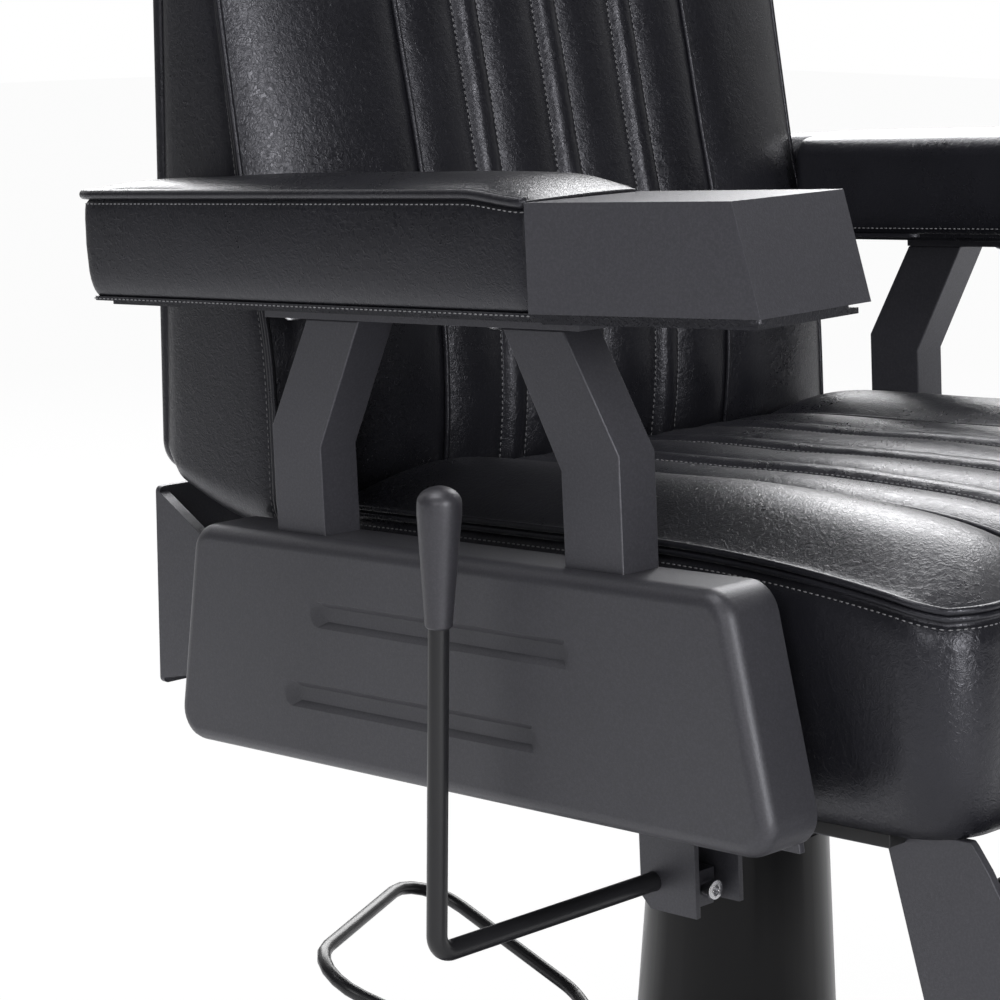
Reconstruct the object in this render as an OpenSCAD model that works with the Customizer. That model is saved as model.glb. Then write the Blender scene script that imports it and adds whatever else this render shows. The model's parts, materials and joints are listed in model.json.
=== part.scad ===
// Barber chair with a reclining back, a hydraulic column and a fixed calf rest.
// The sitter faces -Y, +Z is up, and the origin is on the floor under the column.

/* [Base] */
// Radius of the round base
base_r = 325; // [300:1:360]
// Thickness of the base shell
base_t = 7; // [5:0.5:10]
// Height of the middle of the base
base_h = 32; // [26:1:40]
// Height of the rubber ring that the base stands on
ring_h = 5; // [3:0.5:8]
// Width of the rubber ring
ring_w = 24; // [16:1:32]

/* [Column] */
// Radius of the column shroud at its foot
shroud_foot_r = 77; // [72:0.5:84]
// Radius of the column shroud at its top
shroud_top_r = 61.5; // [58:0.5:66]
// Height of the top of the shroud over the floor
shroud_top_z = 296; // [290:1:300]
// Sheet of the shroud
shroud_t = 2; // [1.5:0.5:3]
// Radius of the pump body
pump_r = 46; // [44:0.5:50]
// Radius of the ram
ram_r = 28; // [24:0.5:30]
// Travel of the ram
lift_travel = 150; // [100:5:160]

/* [Pedal] */
// Direction of the pedal, degrees from straight back towards the sitter's right
pedal_yaw = 25.8; // [0:0.1:40]
// Distance of the pedal's end bar from the column
pedal_reach = 286; // [270:1:300]
// Height of the pedal's end bar over the floor
pedal_end_z = 187.5; // [165:0.5:200]
// Width of the pedal between the middles of its arms, at the end bar
pedal_w = 219; // [190:1:230]
// Radius of the pedal's bar
pedal_bar_r = 5; // [4:0.5:6]

/* [Seat] */
// Height of the top of the side covers over the floor, at the column
datum_z = 537; // [530:1:545]
// Backward lean of the seat, degrees
seat_tilt = 3.7; // [2:0.1:5]
// Distance over the outer faces of the armrest posts
post_span = 632; // [620:1:650]
// Length of the seat cushion
cushion_len = 504; // [490:1:506]
// Front of the seat cushion, ahead of the column
cushion_front = 372; // [368:1:380]
// Depth of the seat cushion below the top of the side covers
cushion_depth = 143; // [140:1:150]
// Rise of the cushion's piping over the top of the side covers
cushion_rise = 10; // [4:1:16]
// Crown of the cushion over its piping
cushion_crown = 14; // [6:1:20]
// Thickness of the seat board
seat_board_t = 8; // [6:0.5:12]
// Thickness of the seat frame's flat bar
bar_t = 8; // [6:0.5:10]
// Width of the seat frame's flat bar
bar_w = 35; // [28:1:40]
// Distance of the two long rails inside the side plates' outer faces
rail_inset = 60; // [54:1:66]

/* [Side covers] */
// Height of a side cover
cover_h = 146; // [140:1:150]
// Length of a side cover along its top
cover_len = 456; // [430:1:470]
// Rear end of the top of a side cover, behind the column
cover_rear = 190; // [180:1:196]
// Flare of each end of a side cover towards its bottom
cover_flare = 31; // [10:1:40]
// Sheet of a side cover
cover_t = 3; // [2:0.5:4]
// Rise of a side cover's face over the face of the armrest posts
cover_proud = 12; // [8:0.5:16]
// Radius of the corners of a side cover
cover_corner_r = 20; // [12:1:26]
// Radius of the edges of a side cover
cover_edge_r = 10; // [4:0.5:11]
// Length of a pressed groove
groove_len = 230; // [160:1:260]
// Height of a pressed groove
groove_h = 17; // [10:1:22]
// Depth of a pressed groove
groove_depth = 4; // [2:0.5:6]

/* [Armrests] */
// Height of an armrest post over the side cover
post_h = 135; // [125:1:150]
// Width of a post, along the chair
post_w = 45.5; // [36:0.5:50]
// Thickness of a post, across the chair
post_t = 30; // [24:0.5:32]
// Wall of a post
post_wall = 2.5; // [1.5:0.5:4]
// Rear face of the rear post, behind the column
post_rear = 117; // [110:1:125]
// Distance between the two posts of one armrest
post_pitch = 254; // [240:1:270]
// Height of the post's bend on its outer edge
kink_out = 66.4; // [60:0.2:72]
// Height of the post's bend on its inner edge
kink_in = 55.2; // [50:0.2:60]
// Lean of the upper part of a post
post_lean = 39.3; // [30:0.1:48]
// Width of the top of a post
post_top_w = 48.6; // [42:0.1:56]
// Thickness of the plate under an armrest
arm_plate_t = 6.3; // [4:0.1:8]
// Width of an armrest
arm_w = 106; // [92:1:110]
// Overhang of an armrest past the face of the posts
arm_proud = 32; // [25:1:40]
// Rear end of an armrest, behind the column
arm_rear = 262; // [240:1:275]
// Place of the joint between pad and metal cap, ahead of the column
arm_joint = 149; // [140:1:160]
// Height of the armrest pad's piping over the board
pad_rise = 67; // [60:0.5:80]
// Height of the metal cap over the board
cap_h = 61; // [50:0.5:66]
// Length of the top of the metal cap
cap_len = 138; // [120:1:150]
// Rake of the metal cap's front face
cap_rake = 16; // [4:1:24]
// Inward turn of the metal cap, degrees
cap_turn = 6; // [0:0.5:8]
// Sheet of the metal cap
cap_t = 2.5; // [1.5:0.5:4]

/* [Back] */
// Height of the bottom of the back cushion over the floor
back_z0 = 505; // [500:1:510]
// Height of the top of the back cushion over the floor
back_z1 = 1000; // [960:5:1010]
// Rear face of the back cushion, behind the column
back_rear = 288; // [280:1:294]
// Front face of the back cushion at its foot, behind the column
back_front = 143; // [140:1:150]
// Height of the lumbar bend of the back cushion over the floor
back_bend_z = 635; // [600:5:660]
// Lean of the front face over the bend, degrees
back_lean = 13.5; // [8:0.5:14]
// Thickness of the rear shell of the back
shell_t = 10; // [6:1:14]
// Thickness of the steel plate behind the back
guard_t = 4.5; // [3:0.5:6]
// Height of the foot of that plate over the floor
guard_z0 = 386; // [380:1:400]
// Height of the top of that plate over the floor
guard_z1 = 526; // [515:1:550]
// Distance of the recline hinge behind the column, along the seat
hinge_y = 185; // [183:1:188]
// Depth of the recline hinge below the top of the side covers
hinge_z = 85; // [83:1:88]
// Recline of the back, degrees
recline = 40; // [20:1:42]

/* [Recline lever] */
// Radius of the lever's rod
lever_r = 6.25; // [5:0.25:7]
// Distance of the lever's upright from the face of the side cover
lever_gap = 34; // [28:1:44]
// Height of the lever's top over its axis
lever_h = 281; // [240:1:300]
// Length of the lever's grip
grip_len = 83; // [70:1:95]
// Largest radius of the grip
grip_r = 13; // [10:0.25:14]
// Radius of the grip at its foot
grip_foot_r = 8; // [7.5:0.25:9]
// Distance of the lever's axis ahead of the column
lever_y = 63.4; // [60:0.2:66]
// Depth of the lever's axis below the top of the side covers
lever_z = 231; // [228:1:234]

/* [Headrest] */
// Width of the headrest
head_w = 280; // [240:5:320]
// Height of the headrest
head_h = 145; // [120:5:160]
// Thickness of the headrest
head_t = 80; // [60:2:86]
// Gap between the back and the headrest at its lowest
head_gap = 30; // [28:1:40]
// Travel of the headrest
head_travel = 100; // [60:5:110]

/* [Footrest] */
// Lean of the calf rest from the seat, degrees
leg_lean = 15; // [10:0.5:18]
// Width of an arm of the footrest
leg_w = 72; // [60:1:78]
// Thickness of an arm of the footrest
leg_t = 6; // [5:0.5:8]
// Length of an arm of the footrest, down to its cross tube
leg_len = 285; // [275:1:300]
// Length of the foot plate
foot_len = 110; // [90:1:130]
// Width of the foot plate
foot_w = 400; // [360:5:420]

/* [Hidden] */
$fn = 48;

// Overrun of every cut
over = 1;
// Running clearance of a pin or shaft in its bore, on the radius
run = 0.05;
// Clearance of parts that lie beside each other
gap = 0.3;

// Places across the chair
post_x1 = post_span / 2;
post_x0 = post_x1 - post_t;
cover_x1 = post_x1 + cover_proud;
cover_x0 = post_x0;
side_plate_t = 5;
side_plate_x0 = cover_x0 - side_plate_t;
lever_x = cover_x1 + lever_gap;
cushion_clear = 17;
cushion_half = cover_x0 - cushion_clear;
back_clear = 8;
back_half = cover_x0 - back_clear;
rail_x = cover_x0 - rail_inset;
arm_x1 = post_x1 + arm_proud;
arm_x0 = arm_x1 - arm_w;
arm_relief = 6;
arm_relief_x = back_half + arm_relief;

// Places along and above the seat
board_z = -cushion_depth - seat_board_t;
bar_z = board_z - bar_t;
mount_t = 8;
mount_z = bar_z - mount_t;
mount_w = 230;
mount_len = 250;
mount_bolt_r = 5;
mount_bolt_inset = 22;
cushion_rear = cushion_len - cushion_front;
front_bar_y = -230;
rear_bar_y1 = 190;
rail_y0 = -312;
post_front_y = post_rear - post_pitch;
arm_plate_z = post_h;
arm_board_z = arm_plate_z + arm_plate_t;
arm_board_t = 6;
pad_z = arm_board_z + arm_board_t;

// The seat leans back about the column's top
module on_seat() {
    translate([0, 0, datum_z]) rotate([-seat_tilt, 0, 0]) children();
}
function world_y(y, z) = y * cos(seat_tilt) + z * sin(seat_tilt);
function world_z(y, z) = datum_z - y * sin(seat_tilt) + z * cos(seat_tilt);

// What is drawn for the left is mirrored for the right
module on_side(right) {
    if (right) mirror([1, 0, 0]) children();
    else children();
}
// A bar or bore across the chair from x0 to x1
module across(x0, x1, r) {
    translate([x0, 0, 0]) rotate([0, 90, 0]) cylinder(r = r, h = x1 - x0);
}
// A plate across the chair, drawn as an outline of distance along and height
module plate(x0, x1) {
    translate([x0, 0, 0]) rotate([90, 0, 90]) linear_extrude(x1 - x0) children();
}
// A flat block between two corners
module block(low, high) {
    translate(low) cube(high - low);
}

// Padded forms. Stations run from -1 to 1 both ways. Level 0 is the crowned face and the
// further levels are rings down the drawn-in sides, closed by a point under the middle.
function rim(nx, ny) = concat(
    [for (i = [0:nx - 1]) [i, 0]], [for (j = [0:ny - 1]) [nx, j]],
    [for (i = [nx:-1:1]) [i, ny]], [for (j = [ny:-1:1]) [0, j]]);
module padded(across_shares, along_shares, levels, place) {
    nx = len(across_shares) - 1;
    ny = len(along_shares) - 1;
    edge = rim(nx, ny);
    n = len(edge);
    face_count = (nx + 1) * (ny + 1);
    function top_at(i, j) = i * (ny + 1) + j;
    function ring_at(k, m) = k == 0
        ? top_at(edge[m % n][0], edge[m % n][1])
        : face_count + (k - 1) * n + m % n;
    points = concat(
        [for (s = across_shares) for (t = along_shares) place(s, t, 0)],
        [for (k = [1:levels]) for (e = edge) place(across_shares[e[0]], along_shares[e[1]], k)],
        [place(0, 0, levels)]);
    under = len(points) - 1;
    top_faces = [for (i = [0:nx - 1]) for (j = [0:ny - 1]) each [
        [top_at(i, j), top_at(i, j + 1), top_at(i + 1, j + 1)],
        [top_at(i, j), top_at(i + 1, j + 1), top_at(i + 1, j)]]];
    side_faces = [for (k = [0:levels - 1]) for (m = [0:n - 1]) each [
        [ring_at(k, m), ring_at(k, m + 1), ring_at(k + 1, m + 1)],
        [ring_at(k, m), ring_at(k + 1, m + 1), ring_at(k + 1, m)]]];
    under_faces = [for (m = [0:n - 1]) [under, ring_at(levels, m), ring_at(levels, m + 1)]];
    polyhedron(points, concat(top_faces, side_faces, under_faces), convexity = 6);
}
// Rounding of the corners of a padded form: 1 in the middle, less towards a corner
function corner(s, t, share) = 1 - share * pow(s * t, 8);

// Sewn channels: a wide one beside each seam of the pair that bounds a narrow one
channel_half = 145;
channel_wide = 55;
channel_narrow = (channel_half * 2 - channel_wide * 4) / 3;
channel_depth = 5;
channel_lip = 8;
channel_seams = [
    channel_narrow / 2,
    channel_narrow / 2 + channel_wide,
    channel_narrow * 1.5 + channel_wide,
    channel_half];
function seam_dip(x) = max([for (c = channel_seams) max(0, 1 - abs(abs(x) - c) / channel_lip)]);
// Stations over a padded face of this half width, so that each seam has its own
function channel_right(half) = [for (x = [
    channel_seams[0], channel_seams[0] + channel_lip, channel_seams[0] + channel_wide / 2,
    channel_seams[1] - channel_lip, channel_seams[1], (channel_seams[1] + channel_seams[2]) / 2,
    channel_seams[2], channel_seams[2] + channel_lip, channel_seams[2] + channel_wide / 2,
    channel_seams[3] - channel_lip, channel_seams[3], channel_seams[3] + channel_lip]) x / half];
bolster_shares = [0.68, 0.78, 0.88, 0.95, 1];
function channel_shares(half) = let (right = concat(channel_right(half), bolster_shares))
    concat([for (i = [len(right) - 1:-1:0]) -right[i]], [0], right);

// Base
hub_flat_r = 105;
base_land = 6;
base_edge = 9;
base_round = 3;
module base_disc() {
    color([0.09, 0.09, 0.10]) rotate_extrude($fn = 96) polygon([
        [base_r - ring_w - base_land * 2, ring_h],
        [base_r - base_round, ring_h], [base_r, ring_h + base_round],
        [base_r, ring_h + base_edge - base_round], [base_r - base_round, ring_h + base_edge],
        [hub_flat_r, base_h], [pump_r + gap, base_h],
        [pump_r + gap, base_h - base_t], [hub_flat_r - base_t, base_h - base_t]]);
}
module base_ring() {
    color([0.04, 0.04, 0.04]) rotate_extrude($fn = 96)
        translate([base_r - ring_w - base_land, 0]) square([ring_w, ring_h]);
}
module pump_foot() {
    color([0.04, 0.04, 0.04]) cylinder(r = pump_r - gap * 10, h = ring_h);
}

// Pump and ram
pump_floor = 18;
pump_top = 290;
gland_h = 40;
pump_bore_r = 40;
flange_r = 84;
flange_t = 10;
flange_pcd_r = 64.5;
flange_bolt_r = 5;
lug_gap = 14;
lug_t = 6;
pin_r = 6;
pedal_pivot_y = 60;
pedal_pivot_z = 82;
lug_h = 22;
ram_head_h = 20;
ram_foot = 12;
ram_top = 356;
flange_top = base_h + flange_t;
ram_z0 = ring_h + pump_floor + ram_foot;
module on_pedal() {
    rotate([0, 0, pedal_yaw]) children();
}
module pump_body() {
    color([0.12, 0.12, 0.13]) difference() {
        union() {
            translate([0, 0, ring_h]) cylinder(r = pump_r, h = pump_top - ring_h);
            translate([0, 0, base_h]) cylinder(r = flange_r - gap * 30, h = flange_t);
            on_pedal() for (x = [-lug_gap - lug_t, lug_gap]) block(
                [x, 0, flange_top], [x + lug_t, pedal_pivot_y + pin_r * 1.7, flange_top + lug_h * 2.6]);
        }
        translate([0, 0, ring_h + pump_floor])
            cylinder(r = pump_bore_r, h = pump_top - gland_h - ring_h - pump_floor);
        translate([0, 0, pump_top - gland_h - over]) cylinder(r = ram_r + run, h = gland_h + over * 2);
        on_pedal() for (a = [45:90:315]) rotate([0, 0, a]) translate([flange_pcd_r, 0, base_h - over])
            cylinder(r = flange_bolt_r + gap, h = flange_t + over * 2);
        on_pedal() translate([0, pedal_pivot_y, pedal_pivot_z])
            across(-lug_gap - lug_t - over, lug_gap + lug_t + over, pin_r);
    }
}
module ram() {
    color([0.75, 0.76, 0.78]) union() {
        translate([0, 0, ram_z0]) cylinder(r = ram_r, h = ram_top - ram_z0);
        translate([0, 0, ram_z0]) cylinder(r = pump_bore_r - run, h = ram_head_h);
    }
}
module base_bolts() {
    color([0.2, 0.2, 0.2]) on_pedal() for (a = [45:90:315]) rotate([0, 0, a])
        translate([flange_pcd_r, 0, 0]) {
        translate([0, 0, base_h]) cylinder(r = flange_bolt_r, h = flange_t);
        translate([0, 0, flange_top]) cylinder(r = flange_bolt_r * 1.8, h = flange_bolt_r * 1.2, $fn = 6);
    }
}
module pedal_pin() {
    head = pin_r * 0.6;
    color([0.6, 0.6, 0.62]) on_pedal() translate([0, pedal_pivot_y, pedal_pivot_z]) {
        across(-lug_gap - lug_t, lug_gap + lug_t, pin_r);
        for (x = [-lug_gap - lug_t - head, lug_gap + lug_t]) across(x, x + head, pin_r * 1.4);
    }
}
// The pedal is one bent rod: a short stem beside the pivot, a knee on each arm, and the end bar
pedal_stem = 17;
pedal_stem_r = 12;
pedal_knee = 95;
pedal_knee_r = 40;
pedal_bend_r = 38;
pedal_root_x = 7.5;
pedal_splay = 12.5;
pedal_slope = atan((pedal_end_z - pedal_pivot_z) / (pedal_reach - pedal_pivot_y));
pedal_len = (pedal_reach - pedal_pivot_y) / cos(pedal_slope);
pedal_knee_x = pedal_w / 2 - (pedal_len - pedal_knee) * tan(pedal_splay);
pedal_corner = pedal_w / 2;
pedal_line = [
    [pedal_root_x, 0], [pedal_root_x, pedal_stem], [pedal_knee_x, pedal_knee], [pedal_corner, pedal_len],
    [-pedal_corner, pedal_len], [-pedal_knee_x, pedal_knee], [-pedal_root_x, pedal_stem], [-pedal_root_x, 0]];
pedal_bends = [
    0, pedal_stem_r, pedal_knee_r, pedal_bend_r, pedal_bend_r, pedal_knee_r, pedal_stem_r, 0];
rod_steps = 6;
rod_sides = 16;
function heading(p, i) = atan2(p[i + 1][1] - p[i][1], p[i + 1][0] - p[i][0]);
function wrapped(a) = a > 180 ? a - 360 : a < -180 ? a + 360 : a;
function turning(p, i) = wrapped(heading(p, i) - heading(p, i - 1));
// Places along one bend, each with its direction
function bend_points(p, b, i) = let(
    h = heading(p, i - 1), turn = turning(p, i), side = turn > 0 ? 1 : -1,
    trim = b[i] * tan(abs(turn) / 2),
    middle = p[i] - trim * [cos(h), sin(h)] + side * b[i] * [-sin(h), cos(h)])
    [for (k = [0:rod_steps]) let(a = h + turn * k / rod_steps)
        [middle[0] + side * b[i] * sin(a), middle[1] - side * b[i] * cos(a), a]];
function rod_line(p, b) = let(last = len(p) - 1) concat(
    [[p[0][0], p[0][1], heading(p, 0)]],
    [for (i = [1:last - 1]) each bend_points(p, b, i)],
    [[p[last][0], p[last][1], heading(p, last - 1)]]);
// A round rod along points in one plane, with a bend at every inner point
module rod_path(p, b, r) {
    line = rod_line(p, b);
    n = rod_sides;
    polyhedron(
        points = [for (q = line) for (k = [0:n - 1]) let(a = 360 * k / n)
            [q[0] - r * cos(a) * sin(q[2]), q[1] + r * cos(a) * cos(q[2]), r * sin(a)]],
        faces = concat(
            [[for (k = [0:n - 1]) k]],
            [for (j = [0:len(line) - 2]) for (k = [0:n - 1])
                [j * n + k, (j + 1) * n + k, (j + 1) * n + (k + 1) % n, j * n + (k + 1) % n]],
            [[for (k = [n - 1:-1:0]) (len(line) - 1) * n + k]]));
}
module pump_pedal() {
    sleeve_r = pin_r * 1.9;
    color([0.05, 0.05, 0.05]) on_pedal() translate([0, pedal_pivot_y, pedal_pivot_z])
        rotate([pedal_slope, 0, 0]) difference() {
            union() {
                across(-lug_gap + gap, lug_gap - gap, sleeve_r);
                rod_path(pedal_line, pedal_bends, pedal_bar_r);
            }
            across(-lug_gap - over, lug_gap + over, pin_r + run);
        }
}
slot_w = 70;
slot_low = 60;
slot_high = 122;
module column_shroud() {
    taper = (shroud_foot_r - shroud_top_r) / (shroud_top_z - flange_top);
    color([0.05, 0.05, 0.06]) difference() {
        rotate_extrude($fn = 96) polygon([
            [shroud_foot_r, base_h], [shroud_foot_r, flange_top], [shroud_top_r, shroud_top_z],
            [ram_r + gap * 5, shroud_top_z], [ram_r + gap * 5, shroud_top_z - shroud_t],
            [shroud_top_r - shroud_t, shroud_top_z - shroud_t],
            [shroud_foot_r - shroud_t, flange_top], [shroud_foot_r - shroud_t, base_h]]);
        on_pedal() block([-slot_w / 2, 0, slot_low], [slot_w / 2, shroud_foot_r + over, slot_high]);
    }
}

// Swivel hub, mounting plate and seat frame
hub_r = 40;
hub_z0 = 304;
big = 400;
module swivel_hub() {
    color([0.08, 0.08, 0.09]) difference() {
        intersection() {
            translate([0, 0, hub_z0]) cylinder(r = hub_r, h = datum_z - hub_z0);
            on_seat() block([-big, -big, mount_z - big], [big, big, mount_z]);
        }
        translate([0, 0, hub_z0 - over]) cylinder(r = ram_r + run, h = ram_top + gap - hub_z0 + over);
    }
}
module mount_bolt_places() {
    for (x = [-1, 1]) for (y = [-1, 1])
        translate([x * (mount_w / 2 - mount_bolt_inset), y * (mount_len / 2 - mount_bolt_inset), 0])
            children();
}
module mounting_plate() {
    color([0.08, 0.08, 0.09]) on_seat() difference() {
        block([-mount_w / 2, -mount_len / 2, mount_z], [mount_w / 2, mount_len / 2, bar_z]);
        mount_bolt_places() translate([0, 0, mount_z - over])
            cylinder(r = mount_bolt_r + gap, h = mount_t + over * 2);
    }
}
module mounting_bolts() {
    color([0.2, 0.2, 0.2]) on_seat() mount_bolt_places() {
        translate([0, 0, mount_z]) cylinder(r = mount_bolt_r, h = mount_t);
        translate([0, 0, mount_z - mount_bolt_r * 1.3])
            cylinder(r = mount_bolt_r * 1.8, h = mount_bolt_r * 1.3, $fn = 6);
    }
}
ear_inset = 35;
ear_x0 = cover_x0 - ear_inset;
ear_x1 = ear_x0 + bar_t;
ear_r = 20;
cross_bar_ys = [front_bar_y, rear_bar_y1 - bar_w];
mount_bar_w = 40;
module seat_frame() {
    color([0.09, 0.09, 0.10]) on_seat() difference() {
        union() {
            for (x = [-rail_x, rail_x - bar_w]) block([x, rail_y0, bar_z], [x + bar_w, rear_bar_y1, board_z]);
            for (y = cross_bar_ys) block([-cover_x0, y, bar_z], [cover_x0, y + bar_w, board_z]);
            for (y = [-mount_len / 2, mount_len / 2 - mount_bar_w])
                block([-rail_x, y, bar_z], [rail_x, y + mount_bar_w, board_z]);
            for (x = [-ear_x1, ear_x0]) plate(x, x + ear_x1 - ear_x0) ear_outline();
        }
        for (x = [-ear_x1, ear_x0]) translate([0, hinge_y, -hinge_z])
            across(x - over, x + ear_x1 - ear_x0 + over, pin_r);
    }
}
module ear_outline() {
    union() {
        translate([hinge_y, -hinge_z]) circle(r = ear_r);
        polygon([
            [rear_bar_y1 - bar_w, board_z], [rear_bar_y1, board_z],
            [hinge_y + ear_r, -hinge_z], [hinge_y - ear_r, -hinge_z]]);
    }
}
module seat_board() {
    inset = 22;
    front = -cushion_front + inset * 2.8;
    notch_rear = leg_y + leg_half + inset / 2;
    color([0.55, 0.42, 0.28]) on_seat() difference() {
        block([-cushion_half + inset, front, board_z],
            [cushion_half - inset, cushion_rear - inset, -cushion_depth]);
        for (right = [false, true]) on_side(right) block(
            [rail_x - gap, front - over, board_z - over], [leg_x1 + gap, notch_rear, over - cushion_depth]);
    }
}

// Seat cushion
seat_drop = 22;
seat_bolster = 10.5;
seat_bolster_x = 207;
seat_bolster_half = 57;
seat_corner_share = 0.045;
seat_along_shares = [-1, -0.97, -0.9, -0.78, -0.6, -0.3, 0.1, 0.6, 0.9, 1];
seat_level_shares = [0, 0.06, 0.35, 0.72, 1];
seat_inset_shares = [0, 0.012, -0.004, 0.012, 0.075];
function seat_edge_z(t) = cushion_rise - seat_drop * pow(max(0, -t - 0.1) / 0.9, 2);
function bolster_rise(x) = seat_bolster
    * pow(max(0, cos(min(90, 90 * abs(abs(x) - seat_bolster_x) / seat_bolster_half))), 1.2);
function seat_top(s, t) = seat_edge_z(t)
    + (cushion_crown * (1 - pow(abs(s), 7)) + bolster_rise(s * cushion_half)) * (1 - pow(abs(t), 12))
    - channel_depth * seam_dip(s * cushion_half) * (1 - pow(abs(t), 20));
function seat_place(s, t, level) = let (
    c = corner(s, t, seat_corner_share), inset = 1 - seat_inset_shares[level],
    high = level == 0 ? seat_top(s, t) : seat_edge_z(t),
    share = seat_level_shares[level])
    [s * cushion_half * c * inset,
    (cushion_rear - cushion_front) / 2 + t * cushion_len / 2 * c * inset,
    high * (1 - share) - cushion_depth * share];
module seat_cushion() {
    color([0.05, 0.05, 0.06]) on_seat()
        padded(channel_shares(cushion_half), seat_along_shares, 4, function (s, t, k) seat_place(s, t, k));
}

// Side plates and side covers
cover_front = cover_rear - cover_len;
plate_inset = 6;
module side_plate(right) {
    color([0.09, 0.09, 0.10]) on_seat() on_side(right) plate(side_plate_x0, cover_x0) polygon([
        [cover_front + plate_inset, -cover_edge_r],
        [cover_rear - plate_inset * 2, -cover_edge_r],
        [cover_rear, board_z], [cover_front - cover_flare + plate_inset * 3, board_z]]);
}
module cover_slice(inset, wall) {
    offset(r = cover_corner_r - inset - wall, $fn = 32) offset(delta = -cover_corner_r) polygon([
        [cover_front, 0], [cover_rear, 0],
        [cover_rear + cover_flare, -cover_h], [cover_front - cover_flare, -cover_h]]);
}
// Outer form of a cover, or its hollow where a wall is given, rounded towards its outer face
module cover_form(wall) {
    thin = 0.1;
    hull() {
        for (a = [0:22.5:90]) translate([cover_x1 - wall - thin - cover_edge_r * (1 - cos(a)), 0, 0])
            plate(0, thin) cover_slice((cover_edge_r - wall) * (1 - sin(a)), wall);
        translate([wall > 0 ? cover_x0 - over : cover_x0, 0, 0]) plate(0, thin) cover_slice(0, wall);
    }
}
groove_rears = [105, 76];
groove_tops = [-92, -39];
groove_fade = 5;
// A pressed groove, tapered inwards, grown by a wall for the metal behind it
module groove(i, wall) {
    thin = 0.1;
    translate([cover_x1 + thin * 2, groove_rears[i] - groove_h / 2, groove_tops[i] - groove_h / 2]) hull() {
        for (y = [0, groove_h - groove_len]) translate([0, y, 0]) {
            across(-thin, 0, groove_h / 2 + wall);
            translate([0, y == 0 ? -groove_fade : groove_fade, 0])
                across(-groove_depth - wall, -groove_depth - wall + thin, groove_h / 2 - groove_depth + wall);
        }
    }
}
module post_holes() {
    for (y = [post_rear - post_w, post_front_y - post_w])
        block([post_x0 - gap, y - gap, -cover_h / 2], [post_x1 + gap, y + post_w + gap, over]);
}
module side_cover(right) {
    color([0.10, 0.10, 0.11]) on_seat() on_side(right) difference() {
        cover_form(0);
        difference() {
            cover_form(cover_t);
            for (i = [0, 1]) groove(i, cover_t / 2);
        }
        for (i = [0, 1]) groove(i, 0);
        post_holes();
    }
}

// Armrest posts, from inside the cover up to the armrest plate
post_root = 118;
module post_outline(wall) {
    polygon([
        [-wall, -post_root - over * sign(wall)], [-wall, kink_out - wall * 0.3],
        [-post_lean - wall * 1.15, post_h + over * sign(wall)],
        [-post_lean - post_top_w + wall * 1.15, post_h + over * sign(wall)],
        [-post_w + wall, kink_in + wall * 0.3], [-post_w + wall, -post_root - over * sign(wall)]]);
}
module post(right, front) {
    y = front ? post_front_y - post_w : post_rear;
    color([0.10, 0.10, 0.11]) on_seat() on_side(right) translate([0, y, 0])
        mirror([0, front ? 1 : 0, 0]) difference() {
            plate(post_x0, post_x1) post_outline(0);
            plate(post_x0 + post_wall, post_x1 - post_wall) post_outline(post_wall);
        }
}

// Armrests
arm_plate_half = (post_pitch + post_w * 0.43) / 2;
arm_plate_lag = 5.9;
arm_plate_shift = 19.4;
arm_plate_y = (post_rear + post_front_y - post_w) / 2 - arm_plate_lag;
arm_screw_r = 3;
arm_screw_head_r = 8.5;
arm_screw_head_h = 2.6;
arm_screw_rear_lag = 2.7;
arm_screw_front_lead = 69.3;
arm_screw_ys = [post_pitch / 2 - arm_screw_rear_lag, arm_screw_front_lead - post_pitch / 2];
// Middle of the plate under an armrest. The left one is the right one turned round.
module on_plate(right) {
    translate([(post_x0 + post_x1) / 2, arm_plate_y + (right ? arm_plate_shift : -arm_plate_shift), 0])
        mirror([0, right ? 0 : 1, 0]) children();
}
module arm_screw_places() {
    for (y = arm_screw_ys) translate([0, y, 0]) children();
}
module arm_plate(right) {
    color([0.10, 0.10, 0.11]) on_seat() on_side(right) on_plate(right) difference() {
        block([-post_t / 2, -arm_plate_half, arm_plate_z], [post_t / 2, arm_plate_half, arm_board_z]);
        arm_screw_places() translate([0, 0, arm_plate_z - over])
            cylinder(r = arm_screw_r + gap, h = arm_plate_t + over * 2);
    }
}
module arm_screws() {
    color([0.8, 0.8, 0.82]) on_seat() for (right = [false, true])
        on_side(right) on_plate(right) arm_screw_places() {
        translate([0, 0, arm_plate_z]) cylinder(r = arm_screw_r, h = arm_plate_t);
        translate([0, 0, arm_plate_z]) rotate([180, 0, 0])
            cylinder(r1 = arm_screw_head_r, r2 = arm_screw_head_r * 0.7, h = arm_screw_head_h, $fn = 32);
    }
}
arm_round = 14;
arm_relief_y = 147;
arm_relief_run = 19;
cap_front = cap_len + cap_rake;
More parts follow.
